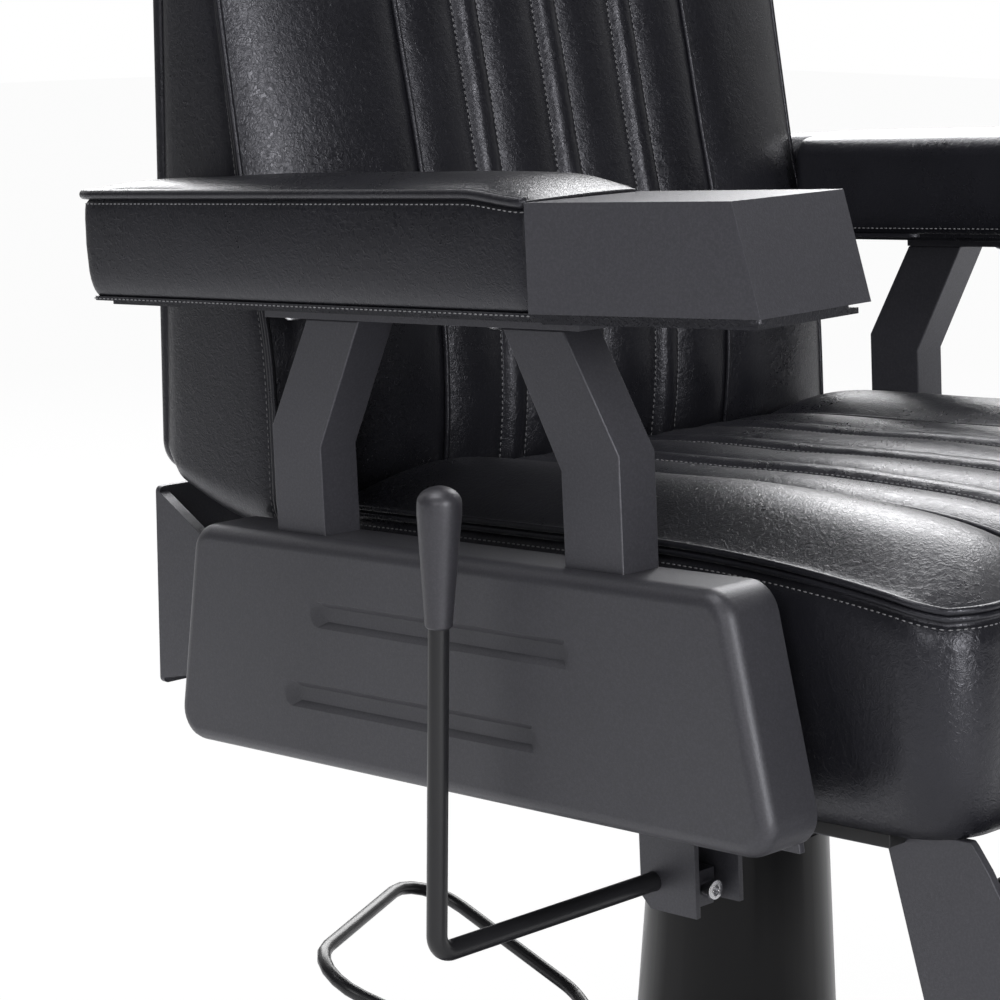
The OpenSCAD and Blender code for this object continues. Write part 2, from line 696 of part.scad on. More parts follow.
// Frame of the cap, at the outer end of the joint and turned inwards
module on_cap() {
    translate([arm_x1, -arm_joint, 0]) rotate([0, 0, -cap_turn]) children();
}
function cap_point(x, y) = [
    arm_x1 + x * cos(cap_turn) + y * sin(cap_turn),
    -arm_joint - x * sin(cap_turn) + y * cos(cap_turn)];
board_inset = 3;
board_step = 3.3;
board_step_inset = 13;
module arm_outline() {
    polygon([
        [arm_x1, arm_rear], [arm_x1, -arm_joint], cap_point(0, -cap_front),
        cap_point(-arm_w, -cap_front), cap_point(-arm_w, -board_inset), [arm_x0, -arm_joint],
        [arm_x0, arm_relief_y], [arm_relief_x, arm_relief_y + arm_relief_run],
        [arm_relief_x, arm_rear]]);
}
module arm_board(right) {
    color([0.05, 0.05, 0.06]) on_seat() on_side(right) translate([0, 0, arm_board_z]) {
        translate([0, 0, board_step]) linear_extrude(arm_board_t - board_step)
            offset(r = arm_round / 2) offset(delta = -arm_round / 2 - board_inset) arm_outline();
        linear_extrude(board_step) union() {
            offset(delta = -board_step_inset) arm_outline();
            offset(delta = -board_inset * 1.7) polygon([
                cap_point(0, 0), cap_point(0, -cap_front),
                cap_point(-arm_w, -cap_front), cap_point(-arm_w, 0)]);
        }
    }
}
arm_crown = 6;
arm_across_shares = [-1, -0.93, -0.8, -0.4, 0.4, 0.8, 0.93, 1];
arm_along_shares = [-1, -0.97, -0.6, -0.1, 0.3, 0.46, 0.53, 0.64, 0.8, 0.94, 1];
arm_level_shares = [0, 0.1, 0.5, 0.9, 1];
arm_inset_shares = [0, 0.03, 0.01, 0.035, 0.07];
arm_corner_share = 0.012;
arm_pad_len = arm_rear + arm_joint;
// The inner edge steps out behind the relief, where the back passes
function arm_inner(y) = arm_x0
    + (arm_relief_x - arm_x0) * min(1, max(0, (y - arm_relief_y) / arm_relief_run));
function arm_place(s, t, level) = let (
    c = t > 0 ? corner(s, t, arm_corner_share) : 1, inset = 1 - arm_inset_shares[level],
    end = t > 0 ? 1 - arm_inset_shares[level] * 0.7 : 1,
    y = -arm_joint + gap + arm_pad_len * (1 + t * c * end) / 2,
    inner = arm_inner(y), mid = (arm_x1 + inner) / 2, half = (arm_x1 - inner) / 2,
    x = mid + s * half * c * inset, skew = (arm_x1 - x) * tan(cap_turn) * (1 - t) / 2,
    share = arm_level_shares[level],
    top = pad_rise + (level == 0 ? arm_crown * (1 - pow(abs(s), 6)) * (1 - pow(abs(t), 16)) : 0))
    [x, y + skew, pad_z + top * (1 - share)];
module arm_pad(right) {
    color([0.05, 0.05, 0.06]) on_seat() on_side(right)
        padded(arm_across_shares, arm_along_shares, 4, function (s, t, k) arm_place(s, t, k));
}
module cap_side(wall) {
    polygon([
        [0, -over * sign(wall)], [-cap_front + wall, -over * sign(wall)],
        [-cap_len + wall, cap_h - wall], [0, cap_h - wall]]);
}
module arm_cap(right) {
    color([0.11, 0.11, 0.12]) on_seat() on_side(right) translate([0, 0, pad_z]) on_cap() difference() {
        plate(-arm_w, 0) cap_side(0);
        plate(-arm_w + cap_t, -cap_t) translate([-cap_t, 0]) cap_side(cap_t);
    }
}

// Recline lever
cheek_t = 4;
cheek_near_x = -174;
cheek_far_x = -146;
cheek_near_front = 35.6;
cheek_rear = 11.4;
cheek_drop = 18.6;
cheek_far_drop = 11.5;
cheek_far_front = 47;
bracket_chamfer = 8;
bracket_round = 22;
block_x = (cheek_near_x + cheek_far_x + cheek_t) / 2;
module on_lever() {
    on_seat() translate([0, -lever_y, -lever_z]) rotate([seat_tilt, 0, 0]) children();
}
module lever_bracket() {
    color([0.09, 0.09, 0.10]) on_seat() difference() {
        union() {
            plate(cheek_near_x, cheek_near_x + cheek_t) polygon([
                [-lever_y - cheek_near_front, bar_z - mount_t], [-lever_y + cheek_rear, bar_z - mount_t],
                [-lever_y + cheek_rear, -lever_z - cheek_drop + bracket_chamfer],
                [-lever_y + cheek_rear - bracket_chamfer, -lever_z - cheek_drop],
                [-lever_y - cheek_near_front, -lever_z - cheek_drop]]);
            plate(cheek_far_x, cheek_far_x + cheek_t) polygon([
                [-lever_y - cheek_far_front, bar_z - mount_t], [-lever_y + cheek_rear, bar_z - mount_t],
                [-lever_y + cheek_rear, -lever_z - cheek_far_drop],
                [-lever_y - cheek_far_front, -lever_z - cheek_far_drop]]);
            block([-rail_x, -lever_y - cheek_far_front, bar_z - mount_t],
                [cheek_far_x + cheek_t, -lever_y + cheek_rear, bar_z]);
        }
        translate([0, -lever_y, -lever_z])
            across(cheek_near_x - over, cheek_far_x + cheek_t + over, lever_r + run);
    }
}
lever_bend_r = 12;
lever_tail = 4;
lever_in_grip = 50;
lever_lean = 0.8;
module lever_rod() {
    color([0.05, 0.05, 0.05]) on_lever() rotate([lever_lean, 0, 0]) union() {
        across(-lever_x + lever_bend_r, cheek_far_x + cheek_t + lever_tail, lever_r);
        translate([-lever_x + lever_bend_r, 0, lever_bend_r]) rotate([90, 0, 0]) rotate([0, 0, 180])
            rotate_extrude(angle = 90) translate([lever_bend_r, 0]) circle(r = lever_r);
        translate([-lever_x, 0, lever_bend_r])
            cylinder(r = lever_r, h = lever_h - grip_len + lever_in_grip - lever_bend_r);
    }
}
module lever_grip() {
    dome = grip_r * 0.75;
    neck = grip_len * 0.8;
    color([0.12, 0.12, 0.13]) on_lever() rotate([lever_lean, 0, 0])
        translate([-lever_x, 0, lever_h - grip_len]) difference() {
        rotate_extrude() polygon(concat(
            [[0, 0], [grip_foot_r - gap * 4, 0], [grip_foot_r, gap * 4], [grip_r, neck],
                [grip_r, grip_len - dome]],
            [for (a = [15:15:90]) [grip_r * cos(a), grip_len - dome + dome * sin(a)]]));
        translate([0, 0, -over]) cylinder(r = lever_r, h = lever_in_grip + over);
    }
}
block_w = 14;
block_front = 30.6;
block_rear = 8.75;
block_drop = 12;
finger_h = 54;
finger_r = 5;
screw_r = 4;
screw_head_r = 6.5;
screw_head_h = 8;
hex_r = 3.4;
module lever_block() {
    color([0.10, 0.10, 0.11]) on_lever() difference() {
        union() {
            block([block_x - block_w / 2, -block_front, -block_drop],
                [block_x + block_w / 2, block_rear, block_drop]);
            block([block_x - block_w / 2, -finger_r, 0], [block_x + block_w / 2, finger_r, finger_h]);
            translate([0, 0, finger_h]) across(block_x - block_w / 2, block_x + block_w / 2, finger_r);
        }
        across(block_x - block_w, block_x + block_w, lever_r);
        translate([block_x, -lever_r, 0]) rotate([90, 0, 0]) cylinder(r = screw_r, h = block_front);
    }
}
module lever_screw() {
    color([0.8, 0.8, 0.82]) on_lever() translate([block_x, 0, 0]) rotate([90, 0, 0]) difference() {
        union() {
            translate([0, 0, lever_r + gap]) cylinder(r = screw_r, h = block_front - lever_r - gap);
            translate([0, 0, block_front]) cylinder(r = screw_head_r, h = screw_head_h);
        }
        translate([0, 0, block_front + screw_head_h / 2]) cylinder(r = hex_r, h = screw_head_h, $fn = 6);
    }
}

// Recline lock: a cylinder under the seat that holds the crank of the back
lock_z = -177;
lock_r = 11;
lock_neck_r = 8;
lock_y0 = -36;
lock_y1 = 95;
release_r = 3;
release_len = 22;
release_travel = 15;
neck_clear = 3;
rod_r = 5;
crank_r = 95;
crank_lead = recline / 2;
crank_eye_r = 11;
stroke = 2 * crank_r * sin(crank_lead);
rod_in = 20;
rod_y0 = lock_y1 - rod_in;
crank_y = hinge_y + crank_r * sin(crank_lead);
crank_z = -hinge_z - crank_r * cos(crank_lead);
crank_low = -hinge_z - crank_r;
// Where the finger of the lever's block meets the release pin
release_y0 = -lever_y - finger_h * sin(seat_tilt) + finger_r + gap;
module along_lock(y0, y1, r) {
    translate([block_x, y0, lock_z]) rotate([-90, 0, 0]) cylinder(r = r, h = y1 - y0);
}
module lock_cylinder() {
    neck_y = release_y0 + release_travel + neck_clear;
    color([0.15, 0.15, 0.16]) on_seat() difference() {
        union() {
            along_lock(neck_y, lock_y0, lock_neck_r);
            along_lock(lock_y0, lock_y1, lock_r);
        }
        along_lock(neck_y - over, release_y0 + release_len + release_travel + gap, release_r + run);
        along_lock(rod_y0 - stroke - gap, lock_y1 + over, rod_r + run);
    }
}
module release_pin() {
    color([0.7, 0.7, 0.72]) on_seat() along_lock(release_y0, release_y0 + release_len, release_r);
}
clamp_y0 = 20;
clamp_y1 = 60;
clamp_wall = 5;
module lock_bracket() {
    half = lock_r + clamp_wall;
    color([0.09, 0.09, 0.10]) on_seat() difference() {
        union() {
            block([block_x - half, clamp_y0, lock_z - half], [block_x + half, clamp_y1, bar_z]);
            block([-rail_x, clamp_y0, bar_z - mount_t], [block_x + half, clamp_y1, bar_z]);
        }
        along_lock(clamp_y0 - over, clamp_y1 + over, lock_r);
    }
}
eye_t = 8;
eye_r = 13;
eye_slot = (crank_z - crank_low) / 2 + gap * 4;
slot_clear = 0.35;
module lock_rod() {
    mid_z = (crank_z + crank_low) / 2;
    color([0.7, 0.7, 0.72]) on_seat() difference() {
        union() {
            along_lock(rod_y0, crank_y - eye_r + over, rod_r);
            plate(block_x - eye_t / 2, block_x + eye_t / 2) translate([crank_y, lock_z]) circle(r = eye_r);
        }
        for (z = [-eye_slot, eye_slot]) translate([0, crank_y, mid_z + z])
            across(block_x - eye_t, block_x + eye_t, rod_r + slot_clear);
        block([block_x - eye_t, crank_y - rod_r - slot_clear, mid_z - eye_slot],
            [block_x + eye_t, crank_y + rod_r + slot_clear, mid_z + eye_slot]);
    }
}
crank_x0 = block_x + eye_t / 2 + 3;
crank_x1 = crank_x0 + 8;
module lock_pin() {
    color([0.7, 0.7, 0.72]) on_seat() translate([0, crank_y, crank_z]) {
        across(block_x - eye_t / 2 - gap * 3, crank_x1, rod_r);
        across(block_x - eye_t / 2 - gap * 14, block_x - eye_t / 2 - gap * 3, rod_r * 1.5);
    }
}

// Back
gusset_side = 3;
gusset_x0 = ear_x1 + gusset_side;
gusset_x1 = gusset_x0 + bar_t;
guard_y0 = back_rear + shell_t + gap;
guard_y1 = guard_y0 + guard_t;
guard_half = gusset_x1;
guard_round = 4;
hinge_wy = world_y(hinge_y, -hinge_z);
hinge_wz = world_z(hinge_y, -hinge_z);
crank_wy = world_y(crank_y, crank_z);
crank_wz = world_z(crank_y, crank_z);
upright_x = 90;
upright_w = 40;
upright_top = 810;
gusset_low = guard_z0 + guard_round;
gusset_high = guard_z1 - guard_round;
module hinge_pins() {
    head = 3;
    color([0.6, 0.6, 0.62]) on_seat() translate([0, hinge_y, -hinge_z])
        for (right = [false, true]) on_side(right) {
        across(ear_x0 - head, gusset_x1 + gap * 2, pin_r);
        across(ear_x0 - head * 2, ear_x0, pin_r * 1.5);
        across(gusset_x1 + gap * 2, gusset_x1 + gap * 2 + head, pin_r * 1.5);
    }
}
module back_bolt_places() {
    for (x = [-1, 1]) for (share = [0.1, 0.55, 0.92])
        translate([x * (upright_x + upright_w / 2), 0, guard_z1 + (upright_top - guard_z1) * share])
            children();
}
bolt_r = 4;
module back_frame() {
    color([0.09, 0.09, 0.10]) difference() {
        union() {
            translate([0, guard_y1, 0]) rotate([90, 0, 0]) linear_extrude(guard_t) union() {
                offset(r = guard_round) offset(delta = -guard_round) polygon([
                    [-guard_half, guard_z0], [guard_half, guard_z0],
                    [guard_half, guard_z1], [-guard_half, guard_z1]]);
                for (x = [-upright_x - upright_w, upright_x])
                    translate([x, guard_z1 - guard_round])
                        square([upright_w, upright_top - guard_z1 + guard_round]);
            }
            for (x = [-gusset_x1, gusset_x0]) plate(x, x + gusset_x1 - gusset_x0) {
                translate([hinge_wy, hinge_wz]) circle(r = ear_r);
                polygon([
                    [hinge_wy, hinge_wz + ear_r], [hinge_wy, hinge_wz - ear_r],
                    [guard_y0, gusset_low], [guard_y0, gusset_high]]);
            }
            plate(crank_x0, crank_x1) {
                translate([crank_wy, crank_wz]) circle(r = crank_eye_r);
                polygon([
                    [crank_wy - crank_eye_r * 0.5, crank_wz + crank_eye_r * 0.86],
                    [crank_wy + crank_eye_r * 0.5, crank_wz - crank_eye_r * 0.86],
                    [guard_y0, guard_z0 + guard_round], [guard_y0, gusset_low + ear_r * 1.5]]);
            }
        }
        for (x = [-gusset_x1, gusset_x0]) translate([0, hinge_wy, hinge_wz])
            across(x - over, x + gusset_x1 - gusset_x0 + over, pin_r + run);
        translate([0, crank_wy, crank_wz]) across(crank_x0 - over, crank_x1 + over, rod_r);
        back_bolt_places() translate([0, guard_y1 + over, 0]) rotate([90, 0, 0])
            cylinder(r = bolt_r + gap, h = guard_t + over * 2);
    }
}
module back_bolts() {
    color([0.6, 0.6, 0.62]) back_bolt_places() {
        translate([0, guard_y1, 0]) rotate([90, 0, 0]) cylinder(r = bolt_r, h = guard_t);
        translate([0, guard_y1, 0]) rotate([-90, 0, 0])
            cylinder(r1 = bolt_r * 1.9, r2 = bolt_r * 1.2, h = bolt_r * 0.8, $fn = 32);
    }
}
shell_inset = 10;
shell_round = 24;
shell_foot = 30;
module back_shell() {
    half = back_half - shell_inset;
    color([0.05, 0.05, 0.06]) translate([0, back_rear + shell_t, 0]) rotate([90, 0, 0])
        linear_extrude(shell_t)
        offset(r = shell_round) offset(delta = -shell_round) polygon([
            [-half, back_z0 + shell_foot], [half, back_z0 + shell_foot],
            [half, back_z1 - shell_inset], [-half, back_z1 - shell_inset]]);
}

// Back cushion
back_narrow = 6;
back_ease_z = 885;
back_ease_lean = 7;
sweep_foot = 5;
sweep_mid = 17;
sweep_top = 10;
sweep_foot_z = 520;
sweep_mid_z = 730;
sweep_top_z = 880;
back_foot_lift = 28;
back_foot_share = 0.3;
back_crown = 9;
back_corner_share = 0.035;
back_along_shares = [-1, -0.97, -0.9, -0.7, -0.48, -0.25, 0, 0.25, 0.54, 0.8, 0.92, 0.98, 1];
back_level_shares = [0, 0.1, 0.5, 0.88, 1];
back_inset_shares = [0, 0.01, 0.001, 0.01, 0.03];
back_lift_shares = [0, 0, 0.2, 0.6, 1];
function back_z(t) = (back_z0 + back_z1) / 2 + t * (back_z1 - back_z0) / 2;
function back_face(z) = back_front
    + max(0, min(z, back_ease_z) - back_bend_z) * tan(back_lean)
    + max(0, z - back_ease_z) * tan(back_ease_lean);
function ramp(z, z0, z1) = min(1, max(0, (z - z0) / (z1 - z0)));
function back_sweep(z) = sweep_foot + (sweep_mid - sweep_foot) * ramp(z, sweep_foot_z, sweep_mid_z)
    + (sweep_top - sweep_mid) * ramp(z, sweep_mid_z, sweep_top_z);
function back_top(s, t) = back_sweep(back_z(t)) * pow(max(0, abs(s) - 0.5) * 2, 2.5)
    - back_crown * (1 - pow(abs(s), 8)) * (1 - pow(abs(t), 14)) + back_crown
    + channel_depth * seam_dip(s * back_half) * (1 - pow(abs(t), 20));
function back_place(s, t, level) = let (
    c = corner(s, t, back_corner_share), inset = 1 - back_inset_shares[level],
    foot = back_foot_lift * back_lift_shares[level] * max(0, 1 - (t + 1) / back_foot_share),
    z = (back_z0 + back_z1) / 2
        + t * c * (1 - back_inset_shares[level] * 0.6) * (back_z1 - back_z0) / 2 + foot,
    half = back_half - back_narrow * (1 + t) / 2,
    face = back_face(z) + back_top(s, t),
    share = back_level_shares[level])
    [s * half * c * inset, face * (1 - share) + back_rear * share, z];
module back_cushion() {
    color([0.05, 0.05, 0.06])
        padded(channel_shares(back_half), back_along_shares, 4, function (s, t, k) back_place(s, t, k));
}

// Headrest
bar_x = 20;
head_bar_t = 6;
head_bar_y0 = guard_y1 + 2;
head_bar_y1 = head_bar_y0 + head_bar_t;
head_bracket_half = 32;
head_bracket_drop = 18;
head_bracket_h = 54;
head_bracket_z1 = back_z1 - head_bracket_drop;
head_bracket_z0 = head_bracket_z1 - head_bracket_h;
head_wall = 6;
head_z0 = back_z1 + head_gap;
head_z1 = head_z0 + head_h;
head_pivot_z = (head_z0 + head_z1) / 2;
head_pivot_y = (head_bar_y0 + head_bar_y1) / 2;
head_bar_tail = 20;
head_bar_z0 = head_bracket_z0 - head_travel - head_bar_tail;
barrel_r = 9;
head_pin_r = 4;
head_board_t = 8;
head_rear = head_pivot_y - barrel_r - 6 - head_board_t;
lug_x = 24;
head_lug_t = 5;
knob_r = 16;
knob_h = 14;
knob_stem_r = 4;
knob_z = (head_bracket_z0 + head_bracket_z1) / 2;
module headrest_bracket() {
    color([0.09, 0.09, 0.10]) difference() {
        block([-head_bracket_half, back_rear + shell_t, head_bracket_z0],
            [head_bracket_half, head_bar_y1 + head_wall, head_bracket_z1]);
        block([-bar_x - gap, head_bar_y0 - gap, head_bracket_z0 - over],
            [bar_x + gap, head_bar_y1 + gap, head_bracket_z1 + over]);
        translate([0, head_bar_y1, knob_z]) rotate([-90, 0, 0])
            cylinder(r = knob_stem_r + run, h = head_wall + over);
    }
}
module headrest_bar() {
    color([0.75, 0.76, 0.78]) difference() {
        union() {
            block([-bar_x, head_bar_y0, head_bar_z0], [bar_x, head_bar_y1, head_pivot_z]);
            translate([0, head_pivot_y, head_pivot_z]) across(-bar_x, bar_x, barrel_r);
        }
        translate([0, head_pivot_y, head_pivot_z]) across(-bar_x - over, bar_x + over, head_pin_r);
    }
}
module headrest_knob() {
    color([0.04, 0.04, 0.04]) translate([0, 0, knob_z]) {
        translate([0, head_bar_y1 + gap * 2, 0]) rotate([-90, 0, 0]) cylinder(r = knob_stem_r, h = head_wall);
        difference() {
            translate([0, head_bar_y1 + gap * 2 + head_wall, 0]) rotate([-90, 0, 0])
                cylinder(r = knob_r, h = knob_h);
            for (a = [0:45:315]) rotate([0, a, 0])
                translate([knob_r + knob_stem_r * 0.4, head_bar_y1 + head_wall, 0])
                rotate([-90, 0, 0]) cylinder(r = knob_stem_r, h = knob_h + over * 2);
        }
    }
}
module headrest_pin() {
    color([0.6, 0.6, 0.62]) translate([0, head_pivot_y, head_pivot_z])
        across(-lug_x - head_lug_t, lug_x + head_lug_t, head_pin_r);
}
head_board_half = 110;
head_board_inset = 22;
module headrest_board() {
    color([0.09, 0.09, 0.10]) difference() {
        union() {
            block([-head_board_half, head_rear, head_z0 + head_board_inset],
                [head_board_half, head_rear + head_board_t, head_z1 - head_board_inset]);
            for (x = [-lug_x - head_lug_t, lug_x]) plate(x, x + head_lug_t) {
                translate([head_pivot_y, head_pivot_z]) circle(r = barrel_r);
                translate([head_rear + head_board_t, head_pivot_z - barrel_r])
                    square([head_pivot_y - head_rear - head_board_t, barrel_r * 2]);
            }
        }
        translate([0, head_pivot_y, head_pivot_z])
            across(-lug_x - head_lug_t - over, lug_x + head_lug_t + over, head_pin_r + run);
    }
}
head_across_shares = [-1, -0.95, -0.8, -0.5, 0, 0.5, 0.8, 0.95, 1];
head_along_shares = [-1, -0.9, -0.6, 0, 0.6, 0.9, 1];
head_level_shares = [0, 0.15, 0.6, 0.9, 1];
head_inset_shares = [0, -0.01, -0.015, 0, 0.04];
head_corner_share = 0.06;
head_crown = 16;
function head_place(s, t, level) = let (
    c = corner(s, t, head_corner_share), inset = 1 - head_inset_shares[level],
    share = head_level_shares[level], edge = head_rear - head_t + head_crown,
    face = level == 0 ? edge - head_crown * (1 - pow(abs(s), 6)) * (1 - pow(abs(t), 4)) : edge)
    [s * head_w / 2 * c * inset, face * (1 - share) + head_rear * share,
    head_pivot_z + t * head_h / 2 * c * inset];
module headrest_cushion() {
    color([0.05, 0.05, 0.06])
        padded(head_across_shares, head_along_shares, 4, function (s, t, k) head_place(s, t, k));
}

// Footrest and calf rest, along an arm that leans forward from the seat
leg_y = -336;
leg_z = board_z - 11.5;
leg_x1 = rail_x + leg_t;
leg_half = leg_w / 2;
toe_y = -62;
toe_r = 19;
module on_leg() {
    on_seat() translate([0, leg_y, leg_z]) rotate([-leg_lean, 0, 0]) children();
}
leg_top = 40;
leg_arc_r = 150;
leg_arc_z = -50;
leg_straight = 254;
tube_r = 11;
tube_wall = 2.5;
module footrest_arm(right) {
    color([0.10, 0.10, 0.11]) on_side(right) difference() {
        intersection() {
            on_leg() plate(rail_x, leg_x1) polygon(concat(
                [[leg_half, leg_top], [leg_half, -leg_straight], [toe_y * 0.4, -leg_len - toe_r * 0.94]],
                [for (a = [270:-12:90]) [toe_y + toe_r * cos(a), -leg_len + toe_r * sin(a)]],
                [[-leg_half, -leg_straight]],
                [for (a = [180:-6:150])
                    [-leg_half + leg_arc_r * (1 + cos(a)), leg_arc_z + leg_arc_r * sin(a)]]));
            on_seat() block([0, -big * 2, -big * 2], [big, big, -cushion_depth - gap * 2]);
        }
        on_leg() translate([0, toe_y, -leg_len]) across(rail_x - over, leg_x1 + over, tube_r);
    }
}
calf_z0 = -205;
calf_z1 = -12;
calf_board_t = 10;
calf_t = 46;
calf_clear = 3;
module calf_board() {
    color([0.09, 0.09, 0.10]) on_leg() block(
        [-rail_x, 0, calf_z0 + calf_t / 4], [rail_x, calf_board_t, calf_z1 - calf_t / 4]);
}
calf_half = rail_x - calf_clear;
calf_crown = 10;
calf_along_shares = [-1, -0.93, -0.7, 0, 0.7, 0.93, 1];
calf_level_shares = [0, 0.15, 0.6, 0.9, 1];
calf_inset_shares = [0, 0.004, 0, 0.008, 0.03];
calf_corner_share = 0.04;
function calf_place(s, t, level) = let (
    c = corner(s, t, calf_corner_share), inset = 1 - calf_inset_shares[level],
    share = calf_level_shares[level], edge = -calf_t,
    face = level == 0
        ? edge - calf_crown * (1 - pow(abs(s), 8)) * (1 - pow(abs(t), 4))
            + channel_depth * seam_dip(s * calf_half) * (1 - pow(abs(t), 12))
        : edge)
    [s * calf_half * c * inset, face * (1 - share) - gap * share,
    (calf_z0 + calf_z1) / 2 + t * (calf_z1 - calf_z0) / 2 * c * inset];
module calf_cushion() {
    color([0.05, 0.05, 0.06]) on_leg()
        padded(channel_shares(calf_half), calf_along_shares, 4, function (s, t, k) calf_place(s, t, k));
}
module footrest_tube() {
    color([0.10, 0.10, 0.11]) on_leg() translate([0, toe_y, -leg_len]) difference() {
        across(-leg_x1, leg_x1, tube_r);
        across(-leg_x1 - over, leg_x1 + over, tube_r - tube_wall);
    }
}
// The foot plate hangs on the tube by two barrels and lies level
module on_foot() {
    on_leg() translate([0, toe_y, -leg_len]) rotate([seat_tilt + leg_lean, 0, 0]) children();
}
foot_barrel_r = 15;
foot_barrel_x = 110;
foot_barrel_w = 50;
foot_t = 6;
foot_mat_t = 4;
foot_top = -4;
foot_start = 20;
foot_round = 18;
foot_rib = 9;
module foot_outline(inset) {
    offset(r = foot_round - inset) offset(delta = -foot_round) polygon([
        [-foot_w / 2, -foot_start], [foot_w / 2, -foot_start],
        [foot_w / 2, -foot_start - foot_len], [-foot_w / 2, -foot_start - foot_len]]);
}
module foot_plate() {
    low = foot_top - foot_mat_t - foot_t;
    color([0.10, 0.10, 0.11]) on_foot() difference() {
        union() {
            translate([0, 0, low]) linear_extrude(foot_t) foot_outline(0);
            for (x = [-foot_barrel_x - foot_barrel_w / 2, foot_barrel_x - foot_barrel_w / 2]) {
                across(x, x + foot_barrel_w, foot_barrel_r);
                block([x, -foot_start - foot_round, low], [x + foot_barrel_w, 0, low + foot_t]);
            }
        }
        for (x = [-foot_barrel_x, foot_barrel_x])
            across(x - foot_barrel_w, x + foot_barrel_w, tube_r + run);
    }
}
module foot_mat() {
    color([0.04, 0.04, 0.04]) on_foot() difference() {
        translate([0, 0, foot_top - foot_mat_t]) linear_extrude(foot_mat_t) foot_outline(foot_t);
        for (y = [foot_start + foot_rib * 1.5:foot_rib:foot_start + foot_len - foot_rib * 1.2]) block(
            [-foot_w / 2 + foot_round, -y - foot_rib * 0.3, foot_top - foot_mat_t / 2],
            [foot_w / 2 - foot_round, -y, foot_top + over]);
    }
}

base_disc();
base_ring();
pump_foot();
pump_body();
base_bolts();
pedal_pin();
pump_pedal();
column_shroud();
ram();
swivel_hub();
mounting_plate();
mounting_bolts();
seat_frame();
seat_board();
seat_cushion();
side_plate(true);  // side_plate_right
side_plate(false);  // side_plate_left
side_cover(true);  // side_cover_right
side_cover(false);  // side_cover_left
post(true, false);  // post_rear_right
post(true, true);  // post_front_right
post(false, false);  // post_rear_left
post(false, true);  // post_front_left
arm_plate(true);  // arm_plate_right
arm_plate(false);  // arm_plate_left
arm_screws();
arm_board(true);  // arm_board_right
arm_board(false);  // arm_board_left
arm_pad(true);  // arm_pad_right
arm_pad(false);  // arm_pad_left
arm_cap(true);  // arm_cap_right
arm_cap(false);  // arm_cap_left
lever_bracket();
lever_rod();
lever_grip();
lever_block();
lever_screw();
lock_cylinder();
lock_bracket();
release_pin();
lock_rod();
lock_pin();
hinge_pins();
back_frame();
back_bolts();
back_shell();
back_cushion();
headrest_bracket();
headrest_bar();
headrest_knob();
headrest_pin();
headrest_board();
headrest_cushion();
footrest_arm(true);  // footrest_arm_right
footrest_arm(false);  // footrest_arm_left
calf_board();
calf_cushion();
footrest_tube();
foot_plate();
foot_mat();
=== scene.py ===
"""Looks of a barber chair: upholstery, coated metal, fittings and a plain studio."""
import json
import math

import bmesh
import bpy
import numpy as np
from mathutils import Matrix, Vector


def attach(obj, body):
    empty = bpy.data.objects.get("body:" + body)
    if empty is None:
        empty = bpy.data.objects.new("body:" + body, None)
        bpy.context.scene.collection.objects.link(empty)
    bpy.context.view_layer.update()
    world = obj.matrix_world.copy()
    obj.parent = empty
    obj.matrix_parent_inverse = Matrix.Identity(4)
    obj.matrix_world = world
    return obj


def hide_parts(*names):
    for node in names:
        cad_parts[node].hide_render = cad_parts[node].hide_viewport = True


bl_info = {
    "name": "Barber chair upholstery",
    "version": (1, 0, 0),
    "blender": (4, 5, 0),
    "location": "View3D > Sidebar > Chair",
    "description": "Builds the padded covers, soft metal edges and studio of a barber chair",
    "category": "Object",
}

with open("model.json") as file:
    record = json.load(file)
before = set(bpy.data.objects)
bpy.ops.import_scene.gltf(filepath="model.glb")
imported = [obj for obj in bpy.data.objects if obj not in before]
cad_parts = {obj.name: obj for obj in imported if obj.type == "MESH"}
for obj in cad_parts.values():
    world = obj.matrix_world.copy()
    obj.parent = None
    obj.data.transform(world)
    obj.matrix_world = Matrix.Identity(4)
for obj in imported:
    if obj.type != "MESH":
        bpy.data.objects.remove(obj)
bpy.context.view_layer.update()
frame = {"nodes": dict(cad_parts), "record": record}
RECORD = frame["record"]
BODY_OF = {n: body for body, nodes in RECORD["behaviour"]["bodies"].items() for n in nodes}
SLOT_OF = {part["node"]: part["material_slot"] for part in RECORD["subparts"]}
MM = 0.001

# Sizes of the frame that the covers follow, in millimetres and degrees
SEAT_TILT = 3.7
DATUM_Z = 537.0
SEAT_HALF = 269.0
SEAT_REAR, SEAT_FRONT = 132.0, -372.0
SEAT_DEPTH = 143.0
SEAT_EDGE, SEAT_DROP = 10.0, 22.0
BACK_HALF = 278.0
BACK_LOW, BACK_HIGH = 505.0, 1000.0
BACK_REAR, BACK_FRONT = 288.0, 143.0
ARM_OUT, ARM_WIDE = 348.0, 106.0
ARM_REAR, ARM_JOINT = 262.0, 149.0
ARM_PAD_Z, ARM_RISE = 147.3, 67.0
ARM_STEP_X, ARM_STEP_Y, ARM_STEP_RUN = 284.0, 147.0, 19.0
CAP_TURN = 6.0
CAP_RISE = 61.0
HEAD_WIDE, HEAD_HIGH, HEAD_THICK = 280.0, 145.0, 80.0
HEAD_Z, HEAD_BACK = 1102.5, 284.8
LEG_LEAN = 15.0
LEG_Y, LEG_Z = -336.0, -162.5
CALF_HALF, CALF_LOW, CALF_HIGH, CALF_THICK = 223.0, -205.0, -12.0, 46.0
NARROW = 70.0 / 3
PLAIN_SEAMS = [NARROW / 2, NARROW / 2 + 55, NARROW * 1.5 + 55]
PIPED_SEAM = 145.0
PANEL_REACH = [NARROW / 2, 27.0, NARROW / 2, 27.0, 36.0]

